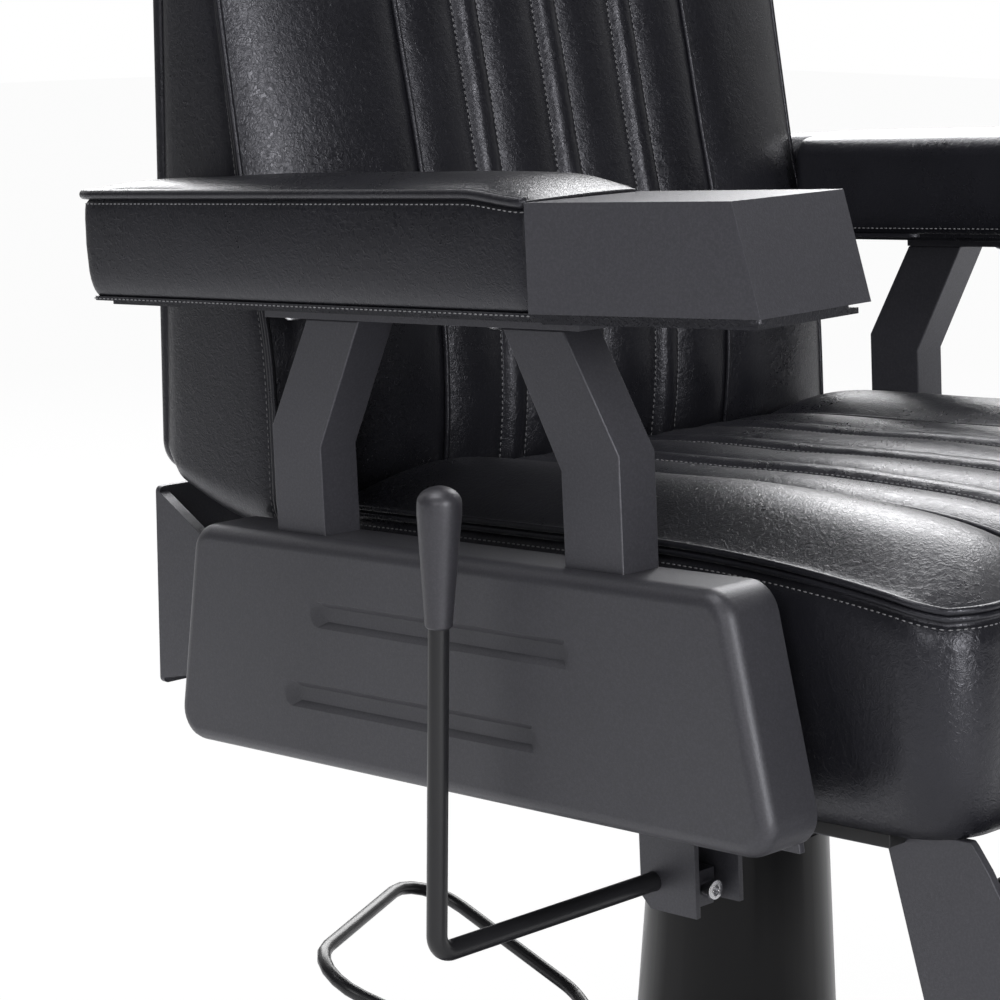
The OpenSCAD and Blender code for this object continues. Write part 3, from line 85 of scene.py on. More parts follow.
# How closely the covers are divided, and the sizes of their sewing, in millimetres
SEAM_STATIONS = np.array([0, 0.5, 1.0, 1.6, 2.4, 3.4, 4.8, 6.6, 9.0, 12.0])
EDGE_STATIONS = np.array([0, 0.8, 2, 4, 7, 11, 16])
NARROWEST_STEP = 0.35
END_ROUNDING = 12.0
THREAD_RADIUS = 0.42
CORD_SIDES = 10


# Settings
class LeatherSettings(bpy.types.PropertyGroup):
    """Sizes and colour of the upholstery."""
    colour: bpy.props.FloatVectorProperty(
        name="Leather colour", description="Colour of the leather before its gloss",
        subtype="COLOR", size=3, default=(0.0115, 0.0116, 0.0150), min=0, max=1)
    roughness: bpy.props.FloatProperty(
        name="Roughness", description="How dull the leather is", default=0.33, min=0, max=1)
    grain: bpy.props.FloatProperty(
        name="Grain depth", description="Depth of the pressed grain and fine creases",
        default=0.00019, min=0, max=0.002, precision=5, unit="LENGTH")
    cord_radius: bpy.props.FloatProperty(
        name="Cord radius", description="Radius of each cord of the double piping",
        default=0.0021, min=0.0005, max=0.006, precision=4, unit="LENGTH")
    arm_roll: bpy.props.FloatProperty(
        name="Arm roll radius", description="Radius of the rolled edge of an arm pad",
        default=0.0032, min=0.001, max=0.008, precision=4, unit="LENGTH")
    channel_depth: bpy.props.FloatProperty(
        name="Channel depth", description="Depth of a sewn channel's seam",
        default=0.0060, min=0, max=0.012, precision=4, unit="LENGTH")
    stitch_pitch: bpy.props.FloatProperty(
        name="Stitch pitch", description="Distance from one stitch to the next",
        default=0.0042, min=0.002, max=0.01, precision=4, unit="LENGTH")
    stitch_length: bpy.props.FloatProperty(
        name="Stitch length", description="Length of a stitch",
        default=0.0025, min=0.001, max=0.008, precision=4, unit="LENGTH")
    thread: bpy.props.FloatVectorProperty(
        name="Thread colour", description="Colour of the sewing thread",
        subtype="COLOR", size=3, default=(0.20, 0.20, 0.21), min=0, max=1)
    pressure: bpy.props.FloatProperty(
        name="Filling pressure", description="Pressure of the cloth simulation that swells the covers",
        default=4.0, min=0, max=20)


class MetalSettings(bpy.types.PropertyGroup):
    """Colour and edge sizes of the coated metal."""
    coat: bpy.props.FloatVectorProperty(
        name="Coat colour", description="Colour of the powder coat",
        subtype="COLOR", size=3, default=(0.043, 0.0425, 0.051), min=0, max=1)
    coat_roughness: bpy.props.FloatProperty(
        name="Coat roughness", description="How dull the powder coat is", default=0.46, min=0, max=1)
    speckle: bpy.props.FloatProperty(
        name="Speckle depth", description="Depth of the coat's fine texture",
        default=0.00016, min=0, max=0.001, precision=5, unit="LENGTH")
    post_edge: bpy.props.FloatProperty(
        name="Post edge", description="Rounding of the edges of the armrest posts",
        default=0.0032, min=0.0005, max=0.006, precision=4, unit="LENGTH")
    cap_edge: bpy.props.FloatProperty(
        name="Cap edge", description="Rounding of the folds of the armrest caps",
        default=0.0016, min=0.0005, max=0.006, precision=4, unit="LENGTH")
    plate_edge: bpy.props.FloatProperty(
        name="Plate edge", description="Rounding of the edges of plates and bars",
        default=0.0009, min=0.0002, max=0.003, precision=4, unit="LENGTH")


class StudioSettings(bpy.types.PropertyGroup):
    """Lights, surroundings and lens."""
    lens: bpy.props.FloatProperty(
        name="Lens", description="Focal length on a 36 mm sensor", default=101.2, min=20, max=300)
    far_white: bpy.props.FloatProperty(
        name="White behind", description="Strength of the surroundings behind the chair",
        default=0.95, min=0, max=2)
    near_grey: bpy.props.FloatProperty(
        name="Grey in front", description="Strength of the surroundings in front of the chair",
        default=0.08, min=0, max=2)
    key: bpy.props.FloatProperty(
        name="Left lamp", description="Power of the soft lamp at the left, in watts",
        default=17, min=0, max=1000)
    rear: bpy.props.FloatProperty(
        name="Rear lamp", description="Power of the lamp behind and above, in watts",
        default=150, min=0, max=1000)
    strip: bpy.props.FloatProperty(
        name="Front strip", description="Power of the tall narrow lamp in front, in watts",
        default=50, min=0, max=1000)
    top: bpy.props.FloatProperty(
        name="Top lamp", description="Power of the soft lamp overhead, in watts",
        default=28, min=0, max=1000)


# Places, grids and meshes
def turned(points, degrees):
    """Points turned about the X axis: y' = y cos a + z sin a and z' = z cos a - y sin a."""
    a = math.radians(degrees)
    x, y, z = points[..., 0], points[..., 1], points[..., 2]
    return np.stack([x, y * math.cos(a) + z * math.sin(a), z * math.cos(a) - y * math.sin(a)], -1)


def from_seat(points):
    """Seat coordinates to the chair's: turned back by the seat's tilt and lifted to the seat's height."""
    return turned(points, SEAT_TILT) + np.array([0, 0, DATUM_Z])


def from_leg(points):
    """Calf rest coordinates to the chair's: turned by its lean, moved to its root and then as the seat."""
    return from_seat(turned(points, LEG_LEAN) + np.array([0, LEG_Y, LEG_Z]))


def bands(rows, columns, wrap=False):
    """Four-cornered faces of a grid of points, row by row. With wrap the last column joins the first."""
    i, j = np.meshgrid(np.arange(rows - 1), np.arange(columns if wrap else columns - 1), indexing="ij")
    k = (j + 1) % columns
    corners = [i * columns + j, i * columns + k, (i + 1) * columns + k, (i + 1) * columns + j]
    return np.stack(corners, -1).reshape(-1, 4)


def linked(name, data):
    """A new object with this data, in the scene."""
    piece = bpy.data.objects.new(name, data)
    bpy.context.scene.collection.objects.link(piece)
    return piece


def made(name, points, faces, material, body=None, smooth=True, outward=True):
    """A mesh object from points in millimetres. Its faces are turned outwards and it rides on a body."""
    mesh = bpy.data.meshes.new(name)
    mesh.from_pydata((np.asarray(points, float) * MM).tolist(), [], [list(f) for f in faces])
    if outward:
        work = bmesh.new()
        work.from_mesh(mesh)
        bmesh.ops.recalc_face_normals(work, faces=work.faces)
        work.to_mesh(mesh)
        work.free()
    mesh.polygons.foreach_set("use_smooth", np.full(len(mesh.polygons), smooth))
    mesh.materials.append(material)
    mesh.update()
    piece = linked(name, mesh)
    if body:
        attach(piece, body)
    return piece


def stations(half, seams, step):
    """Places across a panel: even steps, close ones beside each seam and close ones at the two edges."""
    even = np.linspace(-half, half, int(2 * half / step) + 1)
    seams = np.array([*seams, *(-place for place in seams)], float)
    beside = (seams[:, None, None] + np.array([[1], [-1]]) * SEAM_STATIONS).ravel()
    edge = half - EDGE_STATIONS
    every = np.unique(np.round(np.concatenate([even, beside, edge, -edge]), 2))
    every = every[np.abs(every) <= half]
    clear = np.concatenate([[True], np.diff(every) > NARROWEST_STEP])
    return every[clear] / half


def edge_stations(half, step):
    """Places along a panel: even steps and close ones at the two ends."""
    inner = half - END_ROUNDING
    even = np.linspace(-inner, inner, int(2 * half / step) + 1)
    edge = half - EDGE_STATIONS[:5]
    return np.unique(np.round(np.concatenate([even, edge, -edge]), 2)) / half


def rounded(x, y, half_x, half_y, radius):
    """A rectangle with round corners: the square of each corner is mapped onto a quarter disc, where
    each coordinate is scaled by the root of one less half the square of the other's share."""
    dx = np.clip(np.abs(x) - (half_x - radius), 0, radius) / radius
    dy = np.clip(np.abs(y) - (half_y - radius), 0, radius) / radius
    return (np.sign(x) * (np.abs(x) - radius * dx * (1 - np.sqrt(1 - dy * dy / 2))),
            np.sign(y) * (np.abs(y) - radius * dy * (1 - np.sqrt(1 - dx * dx / 2))))


def rim(nx, ny):
    """Indices of the stations round the edge of a panel, in order."""
    i, j = np.arange(nx - 1), np.arange(ny - 1)
    return (np.concatenate([i, 0 * j + nx - 1, nx - 1 - i, 0 * j]),
            np.concatenate([0 * i, j, 0 * i + ny - 1, ny - 1 - j]))


def padded_form(across, along, depths, surface):
    """A closed padded form. Its face is the surface at depth 0 over the stations both ways, its sides
    are the rings of the face's edge at the further depths, and its underside is drawn to a point in the
    middle."""
    s, t = np.meshgrid(across, along, indexing="ij")
    face = surface(s, t, 0.0)
    nx, ny = s.shape
    ei, ej = rim(nx, ny)
    rings = np.stack([surface(s[ei, ej], t[ei, ej], w) for w in depths])
    n = len(ei)
    middle = rings[-1].mean(0, keepdims=True)
    shrink = np.stack([middle + (rings[-1] - middle) * k for k in (0.8, 0.4)])
    points = np.concatenate([face.reshape(-1, 3), rings.reshape(-1, 3), shrink.reshape(-1, 3), middle])
    first = ei * ny + ej
    ids = np.concatenate([first[None], nx * ny + np.arange((len(depths) + 2) * n).reshape(-1, n)])
    a, b = ids[:-1], ids[1:]
    sides = np.stack([a, np.roll(a, -1, 1), np.roll(b, -1, 1), b], -1).reshape(-1, 4)
    last = ids[-1]
    under = np.stack([last, np.roll(last, -1), np.full(n, len(points) - 1)], -1)
    return points, [*bands(nx, ny).tolist(), *sides.tolist(), *under.tolist()]


def tube(path, radius, sides=10, closed=False, reference=(0, 0, 1)):
    """A round cord along a path: each ring is the radius times the cosine and sine on two axes square to
    the path's direction, the first of them square to the reference."""
    path = np.asarray(path, float)
    if closed:
        along = np.roll(path, -1, 0) - np.roll(path, 1, 0)
    else:
        along = np.gradient(path, axis=0)
    along /= np.linalg.norm(along, axis=1, keepdims=True)
    side = np.cross(along, np.broadcast_to(reference, along.shape))
    side /= np.linalg.norm(side, axis=1, keepdims=True)
    up = np.cross(side, along)
    turn = np.linspace(0, 2 * math.pi, sides, endpoint=False)
    ring = path[:, None] + radius * (side[:, None] * np.cos(turn)[:, None]
                                     + up[:, None] * np.sin(turn)[:, None])
    rows = len(path)
    points = ring.reshape(-1, 3)
    faces = bands(rows, sides, wrap=True).tolist()
    if closed:
        j = np.arange(sides)
        k = (j + 1) % sides
        faces += np.stack([(rows - 1) * sides + j, (rows - 1) * sides + k, k, j], -1).tolist()
    else:
        faces += [list(range(sides))[::-1], list(range((rows - 1) * sides, rows * sides))]
    return points, faces


def joined(parts):
    """Several sets of points and faces as one."""
    points, faces, start = [], [], 0
    for p, f in parts:
        points.append(p)
        faces += [[v + start for v in face] for face in f]
        start += len(p)
    return np.concatenate(points), faces


def running(path):
    """The running length at each point of a path."""
    return np.concatenate([[0], np.cumsum(np.linalg.norm(np.diff(path, axis=0), axis=1))])


def on_path(path, at):
    """Points at these running lengths along a path."""
    length = running(path)
    return np.stack([np.interp(at, length, path[:, k]) for k in range(3)], -1)


def even_path(path, pitch):
    """Points at an even pitch along a path, with the direction at each, from the path's running length."""
    path = np.asarray(path, float)
    at = np.arange(pitch / 2, running(path)[-1], pitch)
    way = on_path(path, at + 0.5) - on_path(path, at - 0.5)
    way /= np.maximum(np.linalg.norm(way, axis=1, keepdims=True), 1e-9)
    return on_path(path, at), way


def stitches(paths, pitch, length, reference):
    """A row of short threads along each path: a six-sided spindle, thin at its two ends, copied to every
    place of the even path and turned to its direction."""
    shares = np.array([-1, -0.62, 0.62, 1])
    widths = np.array([0.3, 1, 1, 0.3]) * THREAD_RADIUS
    rings, sides = len(shares), 6
    turn = np.linspace(0, 2 * math.pi, sides, endpoint=False)
    quads = bands(rings, sides, wrap=True)
    ends = np.array([np.arange(sides)[::-1], np.arange(sides) + (rings - 1) * sides])
    parts = []
    for path in paths:
        spot, way = even_path(path, pitch)
        side = np.cross(way, np.broadcast_to(reference, way.shape))
        side /= np.maximum(np.linalg.norm(side, axis=1, keepdims=True), 1e-9)
        up = np.cross(side, way)
        points = (spot[:, None, None] + way[:, None, None] * (shares * length / 2)[:, None, None]
                  + side[:, None, None] * (widths[:, None] * np.cos(turn))[..., None]
                  + up[:, None, None] * (widths[:, None] * np.sin(turn))[..., None])
        start = np.arange(len(spot))[:, None, None] * rings * sides
        faces = [*(quads + start).reshape(-1, 4).tolist(), *(ends + start).reshape(-1, sides).tolist()]
        parts.append((points.reshape(-1, 3), faces))
    return joined(parts)


# Materials
class Field:
    """One socket of a shader. Sums, differences and products of fields add their Math nodes."""

    def __init__(self, tree, socket):
        self.tree, self.socket = tree, socket

    @classmethod
    def node(cls, tree, kind, settings, inputs, output=0):
        """Adds a node of this type, with its settings first and then the values or links of its sockets."""
        added = tree.nodes.new(kind)
        for name, value in settings.items():
            setattr(added, name, value)
        for name, value in inputs.items():
            if isinstance(value, Field):
                tree.links.new(value.socket, added.inputs[name])
            else:
                added.inputs[name].default_value = value
        return cls(tree, added.outputs[output])

    def _with(self, operation, first, second=0.0):
        return Field.node(self.tree, "ShaderNodeMath", {"operation": operation}, {0: first, 1: second})

    def __add__(self, other):
        return self._with("ADD", self, other)

    def __radd__(self, other):
        return self._with("ADD", other, self)

    def __sub__(self, other):
        return self._with("SUBTRACT", self, other)

    def __rsub__(self, other):
        return self._with("SUBTRACT", other, self)

    def __mul__(self, other):
        return self._with("MULTIPLY", self, other)

    def __abs__(self):
        return self._with("ABSOLUTE", self)

    def held(self):
        """The field kept between nought and one."""
        return Field.node(self.tree, "ShaderNodeClamp", {}, {0: self})


def shaded(colour, share):
    """A colour times a share, as the four values that a socket takes."""
    return tuple(min(1.0, c * share) for c in colour) + (1.0,)


class Finish:
    """A new material: its main shader, the object's own coordinates and the fields made from them."""

    def __init__(self, name):
        self.material = bpy.data.materials.new(name)
        self.material.use_nodes = True
        self.tree = self.material.node_tree
        self.shader = self.tree.nodes["Principled BSDF"]
        self.place = Field.node(self.tree, "ShaderNodeTexCoord", {}, {}, "Object")

    def noise(self, scale, detail=2.0, distortion=0.0, rough=0.5, place=None):
        """Fractal noise at this many turns to the metre."""
        return Field.node(self.tree, "ShaderNodeTexNoise", {}, {
            "Vector": place or self.place, "Scale": scale, "Detail": detail,
            "Distortion": distortion, "Roughness": rough})

    def stretched(self, scale):
        """The object's coordinates stretched along each axis."""
        return Field.node(self.tree, "ShaderNodeMapping", {}, {"Vector": self.place, "Scale": scale})

    def feed(self, socket, field):
        """Links a field to a socket of the main shader."""
        self.tree.links.new(field.socket, self.shader.inputs[socket])

    def tint(self, factor, first, second):
        """Colours the shader between two colours, by a factor."""
        mix = {0: factor, 6: first, 7: second}
        self.feed("Base Color", Field.node(self.tree, "ShaderNodeMix", {"data_type": "RGBA"}, mix, 2))

    def relief(self, strength, depth, height):
        """Raises the surface by a height, at this depth in metres."""
        bump = {"Strength": strength, "Distance": depth, "Height": height}
        self.feed("Normal", Field.node(self.tree, "ShaderNodeBump", {}, bump))

    def plain(self, **values):
        """Sets sockets to plain values, with _ in a name for a space, and gives the material."""
        for name, value in values.items():
            self.shader.inputs[name.replace("_", " ")].default_value = value
        return self.material


def leather(hide):
    """Leather: small pressed cells, fine random creases where a warped noise crosses its middle, and broad
    changes of gloss and colour."""
    skin = Finish("leather")
    voronoi = {"Vector": skin.place, "Scale": 820.0}
    cells = Field.node(skin.tree, "ShaderNodeTexVoronoi", {"feature": "SMOOTH_F1"}, voronoi, "Distance")
    creases = (1 - abs(skin.noise(260.0, 3.0, 1.2, 0.55) - 0.5) * 7).held()
    folds = (1 - abs(skin.noise(85.0, 2.0, 0.8) - 0.5) * 9).held()
    broad = skin.noise(7.0)
    patch = skin.noise(21.0, 3.0, 0.4)
    skin.tint((patch * 1.6 - 0.3).held(), shaded(hide.colour, 0.82), shaded(hide.colour, 1.22))
    gloss = hide.roughness - 0.05 + (broad - 0.5) * 0.16 + creases * 0.07 + (patch - 0.5) * 0.08
    skin.feed("Roughness", gloss.held())
    skin.relief(0.75, hide.grain, cells * 0.16 - creases * 0.55 - folds * 0.6 * patch)
    return skin.plain(Specular_IOR_Level=0.85, Specular_Tint=(0.58, 0.58, 0.63, 1))


def coated(name, colour, roughness, depth):
    """Powder coat: a fine sand texture with lighter grains, and broad faint changes of gloss."""
    skin = Finish(name)
    sand = skin.noise(1350.0, 2.0, 0.0, 0.6)
    grains = skin.noise(620.0, 3.0, 0.2, 0.7)
    broad = skin.noise(9.0)
    skin.tint(((grains - 0.42) * 3.2).held(), shaded(colour, 0.74), shaded(colour, 1.22))
    skin.feed("Roughness", (roughness + (broad - 0.5) * 0.10 + (sand - 0.5) * 0.14).held())
    skin.relief(0.6, depth, sand + grains * 0.8)
    return skin.plain(Specular_IOR_Level=0.85, Specular_Tint=(0.94, 0.94, 1.0, 1))


def smooth_paint(name, colour, roughness, wave=40.0, shine=0.5):
    """Sprayed paint or moulding: an even colour with a faint ripple and small changes of gloss."""
    skin = Finish(name)
    ripple = skin.noise(wave, 3.0)
    fine = skin.noise(900.0, 1.0)
    skin.tint(ripple, shaded(colour, 0.88), shaded(colour, 1.12))
    skin.feed("Roughness", (roughness + (ripple - 0.5) * 0.08).held())
    skin.relief(0.3, 0.00008, fine + ripple)
    return skin.plain(Specular_IOR_Level=shine)


def metal(name, colour, roughness):
    """Bare metal: fine drawn lines from a stretched noise, with a spread of gloss."""
    skin = Finish(name)
    drawn = skin.noise(6.0, 4.0, place=skin.stretched((400.0, 400.0, 40.0)))
    broad = skin.noise(60.0)
    skin.tint(drawn, shaded(colour, 0.9), shaded(colour, 1.04))
    skin.feed("Roughness", (roughness + (drawn - 0.5) * 0.12 + (broad - 0.5) * 0.06).held())
    skin.relief(0.25, 0.00005, drawn)
    return skin.plain(Metallic=1.0)


def rubber(name):
    """Rubber: matt black with a fine pitted skin."""
    skin = Finish(name)
    pits = skin.noise(500.0, 3.0)
    skin.tint(pits, (0.012, 0.012, 0.012, 1), (0.028, 0.028, 0.029, 1))
    skin.feed("Roughness", (0.68 + pits * 0.2).held())
    skin.relief(0.5, 0.00015, pits)
    return skin.material


def thread(hide):
    """Sewing thread: plies that cross the thread as short bands of light and dark."""
    skin = Finish("thread")
    plies = skin.noise(1500.0, 1.0)
    skin.tint(plies, shaded(hide.thread, 0.6), shaded(hide.thread, 1.4))
    skin.feed("Roughness", (0.5 + plies * 0.2).held())
    return skin.material


FINISHES = {}
# Painted shade: the side covers take a darker copy of the same coat, at this share of its colour, so that
# their lit sides render darker
COVER_PAINTED_SHADE = 0.78


def finish_for(slot):
    """The material of one of the record's slots or of one of this script's own finishes, made once."""
    hide, steel = bpy.context.scene.chair_leather, bpy.context.scene.chair_metal
    # The side covers' coat: the coat darkened by the share above, as painted shade
    cover = shaded(steel.coat, COVER_PAINTED_SHADE)[:3]
    makers = {
        "coated_metal": lambda: coated("coated_metal", steel.coat, steel.coat_roughness, steel.speckle),
        "cover_coat_painted_shade": lambda: coated("cover_coat_painted_shade", cover, steel.coat_roughness, steel.speckle),
        "leather": lambda: leather(hide),
        "thread": lambda: thread(hide),
        "black_rod": lambda: smooth_paint("black_rod", (0.014, 0.014, 0.016), 0.34),
        "gloss_black": lambda: smooth_paint("gloss_black", (0.007, 0.007, 0.008), 0.30, 12.0, 0.25),
        "grip_black": lambda: coated("grip_black", (0.031, 0.030, 0.036), 0.46, 0.00008),
        "bright_steel": lambda: metal("bright_steel", (0.80, 0.80, 0.82), 0.24),
        "dark_steel": lambda: metal("dark_steel", (0.16, 0.16, 0.17), 0.4),
        "chrome": lambda: metal("chrome", (0.86, 0.86, 0.88), 0.10),
        "rubber": lambda: rubber("rubber"),
        "stained": lambda: smooth_paint("stained", (0.012, 0.012, 0.013), 0.6),
    }
    if slot not in FINISHES:
        FINISHES[slot] = makers[slot]()
    return FINISHES[slot]


# Pieces from CAD nodes. Nearer points than WELD, in metres, are one, and FLAT is in degrees.
WELD = 0.00002
FLAT = 0.6
# A node's edge in metres, its segments and, where it is not 32, its angle in degrees
EDGES = {
    "back_shell": (0.004, 3), "arm_board_right": (0.0016, 4), "arm_board_left": (0.0016, 4),
    "arm_screws": (0.0006, 2), "back_bolts": (0.0006, 2), "headrest_knob": (0.0012, 3),
    "lever_rod": (0.0003, 1, 60.0), "lever_grip": (0.0008, 2, 40.0), "lever_block": (0.0008, 2),
    "lever_screw": (0.0005, 2, 40.0), "base_disc": (0.0012, 2, 40.0), "base_ring": (0.0012, 2, 40.0),
    "column_shroud": (0.0010, 2, 40.0), "pump_pedal": (0.0004, 1, 60.0), "pump_body": (0.0008, 2),
    "footrest_tube": (0.0004, 1, 40.0), "foot_mat": (0.0005, 2),
    "side_cover_right": (0.0006, 2, 40.0), "side_cover_left": (0.0006, 2, 40.0),
}


def shown(nodes):
    """Gives CAD nodes that stay as they are the finish of their slot."""
    for node in nodes:
        piece = frame["nodes"][node]
        piece.data.materials.clear()
        piece.data.materials.append(finish_for(SLOT_OF[node]))


def softened(node, edge, segments=2, angle=32.0, look=None):
    """A copy of a CAD node with its loose triangles merged, flat faces made one, and every edge sharper
    than the angle rounded by this much."""
    mesh = frame["nodes"][node].data.copy()
    mesh.name = node + "_soft"
    for name in ("custom_normal", "sharp_edge", "sharp_face"):
        found = mesh.attributes.get(name)
        if found:
            mesh.attributes.remove(found)
    work = bmesh.new()
    work.from_mesh(mesh)
    bmesh.ops.remove_doubles(work, verts=work.verts, dist=WELD)
    bmesh.ops.dissolve_limit(work, angle_limit=math.radians(FLAT), verts=work.verts, edges=work.edges)
    work.to_mesh(mesh)
    work.free()
    mesh.materials.clear()
    mesh.materials.append(finish_for(look or SLOT_OF[node]))
    mesh.polygons.foreach_set("use_smooth", np.ones(len(mesh.polygons), bool))
    piece = linked(node + "_soft", mesh)
    bevel = piece.modifiers.new("rounding", "BEVEL")
    bevel.width = edge
    bevel.segments = segments
    bevel.limit_method = "ANGLE"
    bevel.angle_limit = math.radians(angle)
    bevel.miter_outer = "MITER_ARC"
    bevel.harden_normals = False
    even = piece.modifiers.new("even_light", "WEIGHTED_NORMAL")
    even.keep_sharp = True
    even.weight = 80
    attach(piece, BODY_OF[node])
    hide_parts(node)
    return piece


def softened_by_table(*nodes):
    """Softens nodes by the edges of the table, and gives the last of them."""
    for node in nodes:
        piece = softened(node, *EDGES[node])
    return piece


def covered(name, node, points, faces, body):
    """A padded leather piece that stands for a CAD cushion."""
    piece = made(name, points, faces, finish_for("leather"), body)
    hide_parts(node)
    return piece


def cords(name, parts, body):
    """Leather cords along the edges and seams of a cushion."""
    points, faces = joined(parts)
    piece = made(name, points, faces, finish_for("leather"), body)
    return piece


def sewn(name, paths, body, reference=(0, 0, 1)):
    """Rows of stitches along paths on a cushion."""
    hide = bpy.context.scene.chair_leather
    points, faces = stitches(paths, hide.stitch_pitch / MM, hide.stitch_length / MM, reference)
    piece = made(name, points, faces, finish_for("thread"), body, outward=False)
    return piece


# Filling, in metres for the voxels and millimetres for the spread
VOXEL = 0.012
SWELL_FRAMES = 20
SPREAD = 16.0


def evened(piece):
    """The piece's mesh as its modifiers leave it."""
    return bpy.data.meshes.new_from_object(piece.evaluated_get(bpy.context.evaluated_depsgraph_get()))


def places(mesh):
    """The points of a mesh, in millimetres."""
    found = np.empty(len(mesh.vertices) * 3)
    mesh.vertices.foreach_get("co", found)
    return found.reshape(-1, 3) / MM


def inflated(points, faces, pressure, cap):
    """Blows a closed cover up with Blender's cloth: it is remeshed in voxels, swells for twenty frames with
    no gravity, and gives back its points and their moves, in millimetres and held under a cap."""
    scene = bpy.context.scene
    piece = made("filling", points, faces, finish_for("leather"))
    remesh = piece.modifiers.new("even", "REMESH")
    remesh.mode, remesh.voxel_size = "VOXEL", VOXEL
    even = evened(piece)
    piece.modifiers.clear()
    piece.data = even
    cloth = piece.modifiers.new("filling", "CLOTH")
    settings = cloth.settings
    settings.quality, settings.mass = 5, 0.3
    settings.tension_stiffness = settings.compression_stiffness = settings.shear_stiffness = 12
    settings.bending_stiffness = 1.0
    settings.use_pressure, settings.uniform_pressure_force = True, pressure
    settings.effector_weights.gravity = 0
    cloth.point_cache.frame_start, cloth.point_cache.frame_end = 1, SWELL_FRAMES
    for moment in range(1, SWELL_FRAMES + 1):
        scene.frame_set(moment)
    before = places(even)
    moves = places(evened(piece)) - before
    moves -= moves.mean(0)
    size = np.linalg.norm(moves, axis=1, keepdims=True)
    scene.frame_set(1)
    bpy.data.objects.remove(piece)
    return before, moves * cap * np.tanh(size / cap) / np.maximum(size, 1e-6)


def carried(points, base, moves):
    """Moves at any points: the mean of the simulated moves, weighted by the exponential of less the square
    of the distance over twice the square of the spread."""
    flat = points.reshape(-1, 3)
    found = np.empty_like(flat)
    square = (base ** 2).sum(1)
    for part in np.array_split(np.arange(len(flat)), len(flat) // 2000 + 1):
        near = flat[part]
        apart = (near ** 2).sum(1)[:, None] + square - 2 * near @ base.T
        weight = np.exp(-(apart - apart.min(1, keepdims=True)) / (2 * SPREAD * SPREAD))
        found[part] = weight @ moves / weight.sum(1, keepdims=True)
    return found.reshape(points.shape)


def filled(surface, plain, pressure, cap, side=1.0):
    """A surface with its filling: the simulated moves of its plain form are added, less beside the cords
    and over the base, where the cover is sewn or rests."""
    steps = np.linspace(-1, 1, 40)
    base, moves = inflated(*padded_form(steps, steps, np.linspace(0.1, 1, 10), plain), pressure, cap)

    def place(s, t, w):
        points = surface(s, t, w)
        if w == 0:
            hold = (1 - np.abs(s) ** 12) * (1 - np.abs(t) ** 12)
        else:
            hold = side * math.sin(math.pi * min(1.0, max(0.0, (w - 0.09) / 0.91))) + 0 * s
        return points + hold[..., None] * carried(points, base, moves)
    return place


# Upholstery
def seam_dip(x, y, depth):
    """Depth of the sewn channels at a place across. Every panel is a pillow: it falls to its nearest seam by
    the depth times the 2.3rd power of one less the distance over the panel's own reach, and the seams'
    pull leaves small puckers along them."""
    wide = np.abs(x)
    seams = np.array([*PLAIN_SEAMS, PIPED_SEAM])
    reach = np.array(PANEL_REACH)[np.searchsorted(seams, wide)]
    near = np.abs(wide[..., None] - seams).min(-1)
    pucker = 0.16 * np.sin(y / 26.0 * 2 * math.pi + x * 0.01) * np.exp(-((near - 6) / 3.5) ** 2)
    return depth * (1 - np.clip(near / reach, 0, 1)) ** 2.3 + pucker


def soft_step(z, start, width):
    """A slope that sets in gradually: the width times the logarithm of one plus the exponential."""
    return width * np.logaddexp(0, (z - start) / width)


def seat_edge(t):
    """Height of the seat cushion's piping, which falls with the square of the way to the front."""
    return SEAT_EDGE - SEAT_DROP * (np.maximum(0, -t - 0.1) / 0.9) ** 2


def waves(s, t, a, b, c, d):
    """The faint unevenness of a filled cover: a product of two sines, which dies out at its edges."""
    return 0.7 * np.sin(t * a + s * b) * np.sin(s * c - t * d) * (1 - s * s) * (1 - t * t)


SEAT_DRAW = ([0, 0.015, 0.03, 0.045, 0.06, 0.08, 0.13, 0.3, 0.5, 0.72, 0.88, 0.96, 1],
             [0, 0.006, 0.004, 0.012, 0.015, 0.009, 0.001, -0.005, -0.003, 0.010, 0.034, 0.056, 0.078])
SEAT_LONG, SEAT_MIDDLE = (SEAT_REAR - SEAT_FRONT) / 2, (SEAT_REAR + SEAT_FRONT) / 2
SEAT_CORNER, SEAT_CROWN = 38.0, 14.0
BOLSTER_AT, BOLSTER_REACH, BOLSTER_RISE = 207.0, 57.0, 10.5


def seat_surface(depth):
    """The seat cushion: a face crowned by one less the seventh power across, with a bolster along each
    side from a cosine, sewn channels, and sides drawn in from the piping and under the front."""
    def place(s, t, w):
        across, along = s * SEAT_HALF, t * SEAT_LONG
        x, y = rounded(across, along, SEAT_HALF, SEAT_LONG, SEAT_CORNER)
        edge = seat_edge(t)
        beside = np.minimum(1, np.abs(np.abs(across) - BOLSTER_AT) / BOLSTER_REACH)
        bolster = BOLSTER_RISE * np.maximum(0, np.cos(beside * math.pi / 2)) ** 1.2
        crown = (SEAT_CROWN * (1 - np.abs(s) ** 7) + bolster) * (1 - np.abs(t) ** 12)
        channels = seam_dip(across, along, depth) * (1 - np.abs(t) ** 20)
        face = edge + crown - channels + waves(s, t, 9, 5, 7, 3)
        draw = 1 - np.interp(w, *SEAT_DRAW)
        z = face if w == 0 else edge * (1 - w) - SEAT_DEPTH * w
        return from_seat(np.stack([x * draw, SEAT_MIDDLE + y * draw, z], -1))
    return place


def edge_path(surface, across, along, w=0.0):
    """The edge of a padded form at a depth."""
    s, t = np.meshgrid(across, along, indexing="ij")
    ei, ej = rim(*s.shape)
    return surface(s[ei, ej], t[ei, ej], w)


def spaced(path, pitch):
    """A path divided anew at an even pitch, a little under the one given, by its running length."""
    total = running(path)[-1]
    return on_path(path, np.linspace(0, total, int(total / pitch) + 2))


def closed_path(path, pitch):
    """A closed path at even spacing, without its last point twice."""
    return spaced(np.concatenate([path, path[:1]]), pitch)[:-1]


